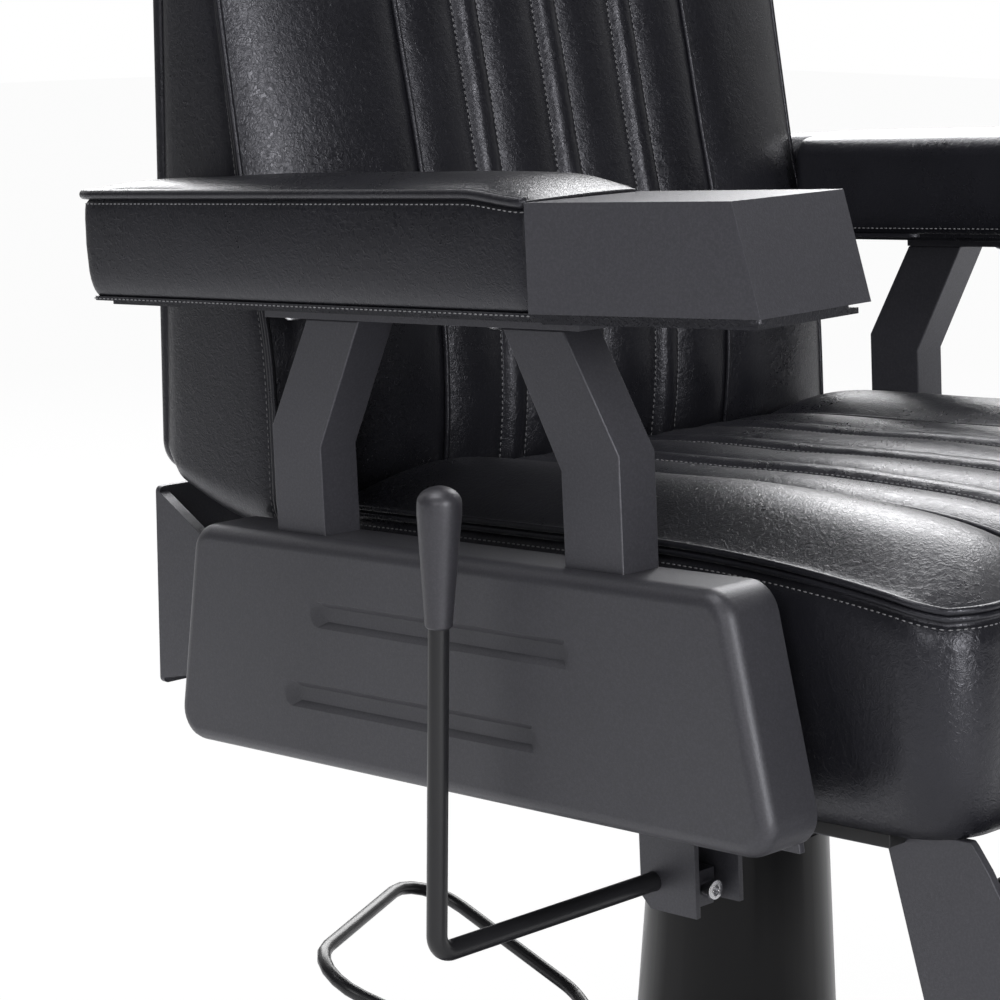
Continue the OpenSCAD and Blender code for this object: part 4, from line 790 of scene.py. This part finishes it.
QUILTED = (*PLAIN_SEAMS, PIPED_SEAM)
FINE_EDGE = [0.008, 0.015, 0.022, 0.03, 0.038, 0.045, 0.052, 0.06, 0.07, 0.08, 0.1, 0.13]
SEAT_DEPTHS = [*FINE_EDGE, 0.17, 0.23, 0.3, 0.4, 0.5, 0.6, 0.7, 0.78, 0.85, 0.9, 0.94, 0.97, 1.0]
BACK_DEPTHS = [*FINE_EDGE, 0.2, 0.3, 0.42, 0.55, 0.68, 0.8, 0.88, 0.94, 0.975, 1.0]
SMALL_DEPTHS = [0.02, 0.045, 0.07, 0.12, 0.2, 0.3, 0.45, 0.6, 0.72, 0.84, 0.92, 0.97, 1.0]


def cushion(name, node, body, surface, depths, out, half, long, step=5.0, pitch=6.0,
            second=0.03, lift=0.0, reach=0.985, count=150, seams=QUILTED, beside=-1.9,
            gusset=0.1, push=0.0):
    """A cushion whose face looks along out: its cover, two cords round it at the face and at a second
    depth, a cord on its outer seams, and stitches beside its other seams and on its gusset."""
    cord = bpy.context.scene.chair_leather.cord_radius / MM
    out = np.array(out, float)
    square = np.abs(out)
    across, along = stations(half, seams, step), edge_stations(long, 5.0)
    points, faces = padded_form(across, along, depths, surface)
    covered(name + "_cover", node, points, faces, body)
    run = np.linspace(-reach, reach, count)

    def row(place):
        return surface(np.full(count, place / half), run, 0.0)

    edge, lower = [closed_path(edge_path(surface, across, along, w), pitch) for w in (0.0, second)]
    parts = [tube(path, cord, CORD_SIDES, True, square) for path in (edge + out * lift, lower)]
    if seams:
        parts += [tube(row(place) + out * cord * 0.9, cord, CORD_SIDES, False, square)
                  for place in (-PIPED_SEAM, PIPED_SEAM)]
    cords(name + "_piping", parts, body)
    sewing = [row(place * k + beside) + out * 0.2 for place in seams[:-1] for k in (-1, 1)]
    low = edge_path(surface, across, along, gusset)
    if push:
        away = (low - low.mean(0)) * [1, 1, 0]
        low = low + away / np.linalg.norm(away, axis=1, keepdims=True) * push
    sewn(name + "_stitches", [*sewing, low], body, square)


class BuildSeatCushion(bpy.types.Operator):
    """Build the seat cushion with its channels, piping and stitches"""
    bl_idname = "chair.seat_cushion"
    bl_label = "Seat cushion"

    def execute(self, context):
        hide = context.scene.chair_leather
        surface = filled(seat_surface(hide.channel_depth / MM), seat_surface(0), hide.pressure, 3.0, 0.6)
        cushion("seat_cushion", "seat_cushion", "seat", surface, SEAT_DEPTHS, (0, 0, 1), SEAT_HALF,
                SEAT_LONG, lift=0.3, beside=2.0, gusset=0.078, push=0.35)
        return {"FINISHED"}


BACK_DRAW = ([0, 0.015, 0.03, 0.045, 0.06, 0.08, 0.13, 0.3, 0.5, 0.75, 0.9, 1],
             [0, 0.004, 0.003, 0.009, 0.012, 0.008, 0.002, -0.002, -0.002, 0.003, 0.011, 0.03])
BACK_LIFT = ([0, 0.1, 0.5, 0.88, 1], [0, 0, 5.6, 16.8, 28])
BACK_SWEEP = ([520, 730, 880], [5, 17, 10])
BACK_TALL, BACK_MIDDLE = (BACK_HIGH - BACK_LOW) / 2, (BACK_LOW + BACK_HIGH) / 2
BACK_CORNER, BACK_CROWN, BACK_NARROWER = 32.0, 9.0, 6.0
BEND_LOW, BEND_HIGH, BEND_WIDTH = 635.0, 885.0, 16.0
LEAN_LOW, LEAN_HIGH = math.tan(math.radians(13.5)), math.tan(math.radians(7))
SHOULDER_RISE, SHOULDER_WIDTH, SHOULDER_DROP = 5.5, 16.0, 2.2


def back_surface(depth):
    """The back cushion: a face that leans over a soft bend, sweeps back towards its sides by a power of
    two and a half and falls to the cords by an exponential, with sewn channels, and a foot that slants up."""
    def place(s, t, w):
        x, h = rounded(s * BACK_HALF, t * BACK_TALL, BACK_HALF, BACK_TALL, BACK_CORNER)
        x = x * (1 - BACK_NARROWER / BACK_HALF * (1 + t) / 2)
        base_z = BACK_MIDDLE + t * BACK_TALL
        draw = np.interp(w, *BACK_DRAW)
        z = BACK_MIDDLE + h * (1 - draw * 0.6)
        z = z + np.interp(w, *BACK_LIFT) * np.maximum(0, 1 - (t + 1) / 0.3)
        front = (BACK_FRONT + soft_step(base_z, BEND_LOW, BEND_WIDTH) * LEAN_LOW
                 - soft_step(base_z, BEND_HIGH, BEND_WIDTH) * (LEAN_LOW - LEAN_HIGH))
        bend = np.interp(base_z, *BACK_SWEEP) * (np.maximum(0, np.abs(s) - 0.5) * 2) ** 2.5
        shoulder = SHOULDER_RISE * np.exp(-(1 - np.abs(s)) * BACK_HALF / SHOULDER_WIDTH) - SHOULDER_DROP
        crown = BACK_CROWN - BACK_CROWN * (1 - np.abs(s) ** 8) * (1 - np.abs(t) ** 14) + shoulder
        face = front + bend + crown
        if w == 0:
            channels = seam_dip(s * BACK_HALF, base_z, depth) * (1 - np.abs(t) ** 20)
            face = face + channels + waves(s, t, 8, 4, 6, 5)
        return np.stack([x * (1 - draw), face * (1 - w) + BACK_REAR * w, z], -1)
    return place


class BuildBackCushion(bpy.types.Operator):
    """Build the back cushion with its channels, piping and stitches, and the cover of the rear shell"""
    bl_idname = "chair.back_cushion"
    bl_label = "Back cushion"

    def execute(self, context):
        hide = context.scene.chair_leather
        surface = filled(back_surface(hide.channel_depth / MM), back_surface(0), hide.pressure, 3.0, 0.3)
        cushion("back_cushion", "back_cushion", "back", surface, BACK_DEPTHS, (0, -1, 0), BACK_HALF,
                BACK_TALL, lift=0.3, gusset=0.085)
        shell = softened_by_table("back_shell")
        return {"FINISHED"}


ARM_DRAW = ([0, 0.02, 0.045, 0.06, 0.075, 0.11, 0.2, 0.5, 0.75, 0.86, 0.93, 0.97, 1],
            [0, 0.9, 2.6, 3.0, 2.2, 0.8, 0.0, -0.4, 0.2, 1.1, 2.3, 3.5, 4.8])
ARM_DEPTHS = [0.015, 0.03, 0.045, 0.06, 0.08, 0.11, 0.16, 0.25, 0.35, 0.5, 0.65, 0.76, 0.84, 0.9, 0.94,
              0.97, 0.985, 1.0]
ARM_LONG = ARM_REAR + ARM_JOINT
ARM_LIP, ARM_CORNER, ARM_PINCH, ARM_CROWN = 9.0, 9.0, 2.6, 6.0
CAP_FALL, CAP_GAP = 52.0, 1.0


def arm_surface(mirrored):
    """An arm pad: a crowned strip whose outer top edge falls to the metal cap over the last part before
    the joint, whose end is skewed to the cap, and whose inner edge is a quarter circle over a side that
    steps out beside the back."""
    def place(s, t, w):
        draw = np.interp(w, *ARM_DRAW) * (1 - np.clip(-s * 10 - 9, 0, 1) * (w < 0.5))
        y = -ARM_JOINT + 0.3 + ARM_LONG * (1 + t) / 2
        step = np.clip((y - ARM_STEP_Y) / ARM_STEP_RUN, 0, 1)
        inner = ARM_OUT - ARM_WIDE + (ARM_STEP_X - ARM_OUT + ARM_WIDE) * step
        half = (ARM_OUT - inner) / 2
        x = s * half
        dx = np.clip(np.abs(x) - (half - ARM_CORNER), 0, ARM_CORNER) / ARM_CORNER
        dy = np.clip(t * ARM_LONG / 2 - (ARM_LONG / 2 - ARM_CORNER), 0, ARM_CORNER) / ARM_CORNER
        x = np.sign(s) * (np.abs(x) - ARM_CORNER * dx * (1 - np.sqrt(1 - dy * dy / 2)))
        y = y - ARM_CORNER * dy * (1 - np.sqrt(1 - dx * dx / 2)) - draw * np.clip((t - 0.9) * 10, 0, 1)
        pinch = ARM_PINCH * np.clip(1 - (y + ARM_JOINT) / ARM_CORNER, 0, 1) ** 2
        x = (ARM_OUT + inner) / 2 + x * (1 - (draw + pinch) / half)
        y = y + (ARM_OUT - x) * math.tan(math.radians(CAP_TURN)) * (1 - t) / 2
        before = np.clip(1 - (y + ARM_JOINT) / CAP_FALL, 0, 1)
        fall = (ARM_RISE - CAP_RISE - CAP_GAP) * before ** 2 * (3 - 2 * before)
        lip = ARM_LIP * (1 - 0.75 * before)
        rise = ARM_RISE - fall - lip * (1 - np.sqrt(1 - (1 - np.minimum(1, (1 + s) * half / lip)) ** 2))
        if w == 0:
            rise = rise + ARM_CROWN * (1 - np.abs(s) ** 5) * (1 - np.abs(t) ** 12)
            rise = rise + 1.2 * (1 - s * s) * before * (1 - before) * 4
        across = -x if mirrored else x
        return from_seat(np.stack([across, y, ARM_PAD_Z + rise * (1 - w)], -1))
    return place


class BuildArmPads(bpy.types.Operator):
    """Build the two arm pads with their rolled edge, stitches and hem"""
    bl_idname = "chair.arm_pads"
    bl_label = "Arm pads"

    def hem(self, s, t, mirrored):
        """The path of the stitches on the hem under a pad: the board's outer and rear sides."""
        outer = s > 0.999
        span = ARM_OUT - ARM_STEP_X - 8
        x = np.where(outer, ARM_OUT - 2.7, (ARM_OUT + ARM_STEP_X) / 2 + s * span / 2)
        y = np.where(outer, (t + 1) / 2 * (ARM_LONG - 10) - ARM_JOINT, ARM_REAR - 2.7)
        return np.stack([-x if mirrored else x, y, 0 * x + ARM_PAD_Z - 1.5], -1)

    def execute(self, context):
        hide = context.scene.chair_leather
        roll = hide.arm_roll / MM
        across, along = stations(ARM_WIDE / 2, [], 4.0), edge_stations(ARM_LONG / 2, 4.0)
        long, rear = np.linspace(-0.995, 1, 160), np.linspace(1, -1, 40)[1:]
        out = np.ones(len(long))
        s, t = np.concatenate([out, rear]), np.concatenate([long, np.ones(len(rear))])
        for side, mirrored in (("right", True), ("left", False)):
            surface = filled(arm_surface(mirrored), arm_surface(mirrored), hide.pressure, 3.0, 0.5)
            points, faces = padded_form(across, along, ARM_DEPTHS, surface)
            covered("arm_pad_cover_" + side, "arm_pad_" + side, points, faces, "seat")
            grow = np.array([-1.0 if mirrored else 1.0, 0, 0])
            edge = surface(s, t, 0.0) - grow * 2.2 * (s[:, None] > 0.999) + [0, 0, -roll * 0.35]
            cords("arm_pad_roll_" + side, [tube(spaced(edge, 4.0), roll, 12)], "seat")
            under = spaced(surface(s, t, 0.105) + grow * 0.25, 4.0)
            inner = spaced(surface(-out, long, 0.93) - grow * 0.2, 4.0)
            low = spaced(from_seat(self.hem(s, t, mirrored)), 4.0)
            sewn("arm_pad_stitches_" + side, [under, inner, low], "seat")
            hem = softened_by_table("arm_board_" + side)
        return {"FINISHED"}


HEAD_DRAW = ([0, 0.03, 0.07, 0.3, 0.6, 0.85, 1], [0, 0.008, 0.006, -0.014, -0.015, 0.0, 0.04])
HEAD_CROWN, SMALL_CORNER = 16.0, 26.0


def head_surface():
    """The headrest: a block crowned by the sixth and fourth powers across and along, with drawn-in sides."""
    def place(s, t, w):
        half_x, half_z = HEAD_WIDE / 2, HEAD_HIGH / 2
        x, h = rounded(s * half_x, t * half_z, half_x, half_z, SMALL_CORNER)
        draw = 1 - np.interp(w, *HEAD_DRAW)
        edge = HEAD_BACK - HEAD_THICK + HEAD_CROWN + 0 * s
        face = edge - HEAD_CROWN * (1 - np.abs(s) ** 6) * (1 - np.abs(t) ** 4) if w == 0 else edge
        return np.stack([x * draw, face * (1 - w) + HEAD_BACK * w, HEAD_Z + h * draw], -1)
    return place


class BuildHeadrest(bpy.types.Operator):
    """Build the headrest cushion with its piping and stitches"""
    bl_idname = "chair.headrest"
    bl_label = "Headrest"

    def execute(self, context):
        surface = filled(head_surface(), head_surface(), context.scene.chair_leather.pressure, 4.0)
        cushion("headrest", "headrest_cushion", "headrest", surface, SMALL_DEPTHS, (0, -1, 0),
                HEAD_WIDE / 2, HEAD_HIGH / 2, pitch=5.0, second=0.05, seams=(), gusset=0.12)
        return {"FINISHED"}


CALF_DRAW = ([0, 0.04, 0.09, 0.3, 0.6, 0.85, 1], [0, 0.007, 0.006, 0.0, 0.0, 0.006, 0.03])
CALF_TALL, CALF_MIDDLE, CALF_CROWN = (CALF_HIGH - CALF_LOW) / 2, (CALF_HIGH + CALF_LOW) / 2, 10.0


def calf_surface(depth):
    """The calf cushion: a face crowned by the eighth and fourth powers, with channels as the seat's."""
    def place(s, t, w):
        x, h = rounded(s * CALF_HALF, t * CALF_TALL, CALF_HALF, CALF_TALL, SMALL_CORNER)
        draw = 1 - np.interp(w, *CALF_DRAW)
        face = -CALF_THICK + 0 * s
        if w == 0:
            face = face - CALF_CROWN * (1 - np.abs(s) ** 8) * (1 - np.abs(t) ** 4)
            face = face + seam_dip(s * CALF_HALF, t * CALF_TALL, depth) * (1 - np.abs(t) ** 12)
        y = face * (1 - w) - 0.3 * w
        return from_leg(np.stack([x * draw, y, CALF_MIDDLE + h * draw], -1))
    return place


class BuildCalfCushion(bpy.types.Operator):
    """Build the calf cushion with its channels, piping and stitches"""
    bl_idname = "chair.calf_cushion"
    bl_label = "Calf cushion"

    def execute(self, context):
        hide = context.scene.chair_leather
        surface = filled(calf_surface(hide.channel_depth / MM), calf_surface(0), hide.pressure, 4.0, 0.4)
        cushion("calf_cushion", "calf_cushion", "seat", surface, SMALL_DEPTHS, (0, -1, 0), CALF_HALF,
                CALF_TALL, step=6.0, second=0.07, reach=0.97, count=80, gusset=0.16)
        return {"FINISHED"}


# Metal and fittings
class FinishArmrests(bpy.types.Operator):
    """Round the edges of the posts, caps and plates of the armrests"""
    bl_idname = "chair.armrests"
    bl_label = "Armrest metal"

    def execute(self, context):
        steel = context.scene.chair_metal
        for side in ("right", "left"):
            for post in ("post_rear_", "post_front_"):
                softened(post + side, steel.post_edge, 4)
            softened("arm_cap_" + side, steel.cap_edge, 3)
            softened("arm_plate_" + side, steel.plate_edge, 2)
        softened_by_table("arm_screws")
        return {"FINISHED"}


class FinishSideCovers(bpy.types.Operator):
    """Smooth the side covers and the plates behind them, and give the covers a darkened coat as painted shade
    """
    bl_idname = "chair.side_covers"
    bl_label = "Side covers"

    def execute(self, context):
        steel = context.scene.chair_metal
        for side in ("right", "left"):
            node = "side_cover_" + side
            # The covers take the darkened copy of the coat: painted shade
            softened(node, *EDGES[node], look="cover_coat_painted_shade")
            softened("side_plate_" + side, steel.plate_edge, 2)
        return {"FINISHED"}


class FinishSeatFrame(bpy.types.Operator):
    """Give the seat frame, its plates and its bolts their finish"""
    bl_idname = "chair.seat_frame"
    bl_label = "Seat frame"

    def execute(self, context):
        edge = context.scene.chair_metal.plate_edge
        for node in ("seat_frame", "mounting_plate", "lock_bracket", "lever_bracket"):
            softened(node, edge, 2)
        softened("seat_board", edge, 2, look="stained")
        shown(["swivel_hub", "mounting_bolts", "hinge_pins"])
        return {"FINISHED"}


class FinishLever(bpy.types.Operator):
    """Smooth the recline lever, its grip, block and screw, and the lock under the seat"""
    bl_idname = "chair.lever"
    bl_label = "Recline lever"

    def execute(self, context):
        softened_by_table("lever_rod", "lever_grip", "lever_block", "lever_screw")
        shown(["lock_cylinder", "release_pin", "lock_rod", "lock_pin"])
        return {"FINISHED"}


class FinishBackFrame(bpy.types.Operator):
    """Round the edges of the back's steel frame and of the headrest's fittings"""
    bl_idname = "chair.back_frame"
    bl_label = "Back frame"

    def execute(self, context):
        edge = context.scene.chair_metal.plate_edge
        for node in ("back_frame", "headrest_bracket", "headrest_board", "headrest_bar"):
            softened(node, edge, 2)
        softened_by_table("headrest_knob", "back_bolts")
        shown(["headrest_pin"])
        return {"FINISHED"}


class FinishColumn(bpy.types.Operator):
    """Give the base, pump, column and pedal their finish"""
    bl_idname = "chair.column"
    bl_label = "Base and column"

    def execute(self, context):
        softened_by_table("base_disc", "base_ring", "column_shroud", "pump_pedal", "pump_body")
        shown(["pump_foot", "base_bolts", "pedal_pin", "ram"])
        return {"FINISHED"}


class FinishFootrest(bpy.types.Operator):
    """Round the edges of the footrest's arms, board, tube and plate"""
    bl_idname = "chair.footrest"
    bl_label = "Footrest metal"

    def execute(self, context):
        edge = context.scene.chair_metal.plate_edge
        for node in ("footrest_arm_right", "footrest_arm_left", "calf_board", "foot_plate"):
            softened(node, edge, 2)
        softened_by_table("footrest_tube", "foot_mat")
        return {"FINISHED"}


# The stage, in metres. Shares of light run from black, 0, to white, 1.
FLOOR_HALF, FLOOR_DROP = 14.0, 0.0006
FLOOR_SEEN, FLOOR_MIRRORED = 0.96, 0.10
WAY_BEHIND = (0.70, 0.71, 0.10)
NEAR_SHARE, FAR_SHARE = 0.15, 0.75
HORIZON_SHARE, HORIZON_TOP = 0.22, 0.42
CAMERA_PLACE = (-1.4314, -1.2248, 0.8950)
CAMERA_DOWN, CAMERA_TURN = 11.26, -44.36


def lamp(name, place, target, power, size):
    """A soft lamp of this width and height, aimed at a point."""
    light = bpy.data.lights.new(name, "AREA")
    light.energy, light.shape = power, "RECTANGLE"
    light.size, light.size_y = size
    piece = linked(name, light)
    piece.location = place
    piece.rotation_euler = (Vector(target) - Vector(place)).to_track_quat("-Z", "Y").to_euler()


def stepped(tree, value, start, end, low, high):
    """A smooth step of a field, from low at its start to high at its end."""
    return Field.node(tree, "ShaderNodeMapRange", {"interpolation_type": "SMOOTHSTEP"}, {
        "Value": value, "From Min": start, "From Max": end, "To Min": low, "To Max": high})


def ray(tree, kind):
    """One at rays of this kind, nought at all others."""
    return Field.node(tree, "ShaderNodeLightPath", {}, {}, kind)


class BuildStage(bpy.types.Operator):
    """Build the floor, surroundings, lamps and camera"""
    bl_idname = "chair.stage"
    bl_label = "Stage"

    def build_floor(self):
        """The floor: it shows the camera its light and keeps part of the object's shadow."""
        skin = Finish("pale_floor")
        corners = [(-1, -1), (1, -1), (1, 1), (-1, 1)]
        points = [(x * FLOOR_HALF / MM, y * FLOOR_HALF / MM, -FLOOR_DROP / MM) for x, y in corners]
        floor = made("floor", points, [[0, 1, 2, 3]], skin.material, smooth=False, outward=False)
        skin.feed("Roughness", 0.62 + skin.noise(3.0) * 0.1)
        skin.plain(Base_Color=(0.78, 0.78, 0.79, 1), Specular_IOR_Level=0.1)
        tree = skin.tree
        mirrored = ray(tree, "Is Glossy Ray") + ray(tree, "Is Transmission Ray")
        seen = (ray(tree, "Is Camera Ray") * FLOOR_SEEN + mirrored * FLOOR_MIRRORED).held()
        glow = Field.node(tree, "ShaderNodeEmission", {}, {"Color": (1, 1, 1, 1), "Strength": 1.0})
        inputs = {0: seen, 1: Field(tree, skin.shader.outputs[0]), 2: glow}
        both = Field.node(tree, "ShaderNodeMixShader", {}, inputs)
        tree.links.new(both.socket, tree.nodes["Material Output"].inputs["Surface"])

    def build_world(self, scene):
        """The surroundings: white to the camera. Other rays see a smooth step from grey before the chair to
        white behind it, times a smooth step up from the horizon."""
        studio = scene.chair_studio
        world = bpy.data.worlds.new("studio")
        world.use_nodes = True
        scene.world = world
        tree = world.node_tree
        way = Field.node(tree, "ShaderNodeTexCoord", {}, {}, "Generated")
        behind = Field.node(tree, "ShaderNodeVectorMath", {"operation": "DOT_PRODUCT"},
                            {0: way, 1: WAY_BEHIND}, "Value")
        share = stepped(tree, behind, NEAR_SHARE, FAR_SHARE, studio.near_grey, studio.far_white)
        height = Field.node(tree, "ShaderNodeSeparateXYZ", {}, {"Vector": way}, "Z")
        low = stepped(tree, height, 0.0, HORIZON_TOP, HORIZON_SHARE, 1.0)
        direct = ray(tree, "Is Camera Ray")
        strength = direct + (1 - direct) * share * low
        back = tree.nodes["Background"]
        back.inputs["Color"].default_value = (1, 1, 1, 1)
        tree.links.new(strength.socket, back.inputs["Strength"])

    def execute(self, context):
        scene, studio = context.scene, context.scene.chair_studio
        self.build_floor()
        self.build_world(scene)
        lamp("left_lamp", (-2.9, -1.5, 1.6), (0, 0, 0.55), studio.key, (1.2, 1.2))
        lamp("rear_lamp", (1.9, 2.0, 2.3), (0, 0, 0.65), studio.rear, (3.2, 1.9))
        lamp("top_lamp", (-0.9, 0.1, 2.9), (-0.1, 0, 0.6), studio.top, (1.2, 1.2))
        lamp("front_strip", (-0.95, -3.0, 1.35), (0, 0, 0.75), studio.strip, (0.30, 1.7))

        camera = bpy.data.cameras.new("photo_camera")
        camera.lens, camera.sensor_width = studio.lens, 36.0
        camera.clip_start, camera.clip_end = 0.05, 60.0
        piece = linked("photo_camera", camera)
        piece.location = CAMERA_PLACE
        piece.rotation_euler = (math.radians(90 - CAMERA_DOWN), 0, math.radians(CAMERA_TURN))
        scene.camera = piece
        scene.view_settings.view_transform = "Standard"
        return {"FINISHED"}


STEPS = (BuildSeatCushion, BuildBackCushion, BuildArmPads, BuildHeadrest, BuildCalfCushion,
         FinishArmrests, FinishSideCovers, FinishSeatFrame, FinishLever, FinishBackFrame, FinishColumn,
         FinishFootrest, BuildStage)


class ChairPanel(bpy.types.Panel):
    """Settings and steps of the barber chair"""
    bl_idname = "VIEW3D_PT_barber_chair"
    bl_label = "Barber chair"
    bl_space_type = "VIEW_3D"
    bl_region_type = "UI"
    bl_category = "Chair"

    def draw(self, context):
        for group in (context.scene.chair_leather, context.scene.chair_metal, context.scene.chair_studio):
            box = self.layout.box()
            for name in group.__annotations__:
                box.prop(group, name)
        for step in STEPS:
            self.layout.operator(step.bl_idname)


GROUPS = {"chair_leather": LeatherSettings, "chair_metal": MetalSettings, "chair_studio": StudioSettings}


def register():
    for name, group in GROUPS.items():
        bpy.utils.register_class(group)
        setattr(bpy.types.Scene, name, bpy.props.PointerProperty(type=group))
    for item in (*STEPS, ChairPanel):
        bpy.utils.register_class(item)


def unregister():
    for item in (ChairPanel, *reversed(STEPS)):
        bpy.utils.unregister_class(item)
    for name, group in GROUPS.items():
        delattr(bpy.types.Scene, name)
        bpy.utils.unregister_class(group)


def main():
    register()
    for step in STEPS:
        group, name = step.bl_idname.split(".")
        getattr(getattr(bpy.ops, group), name)()


if __name__ == "__main__":
    main()
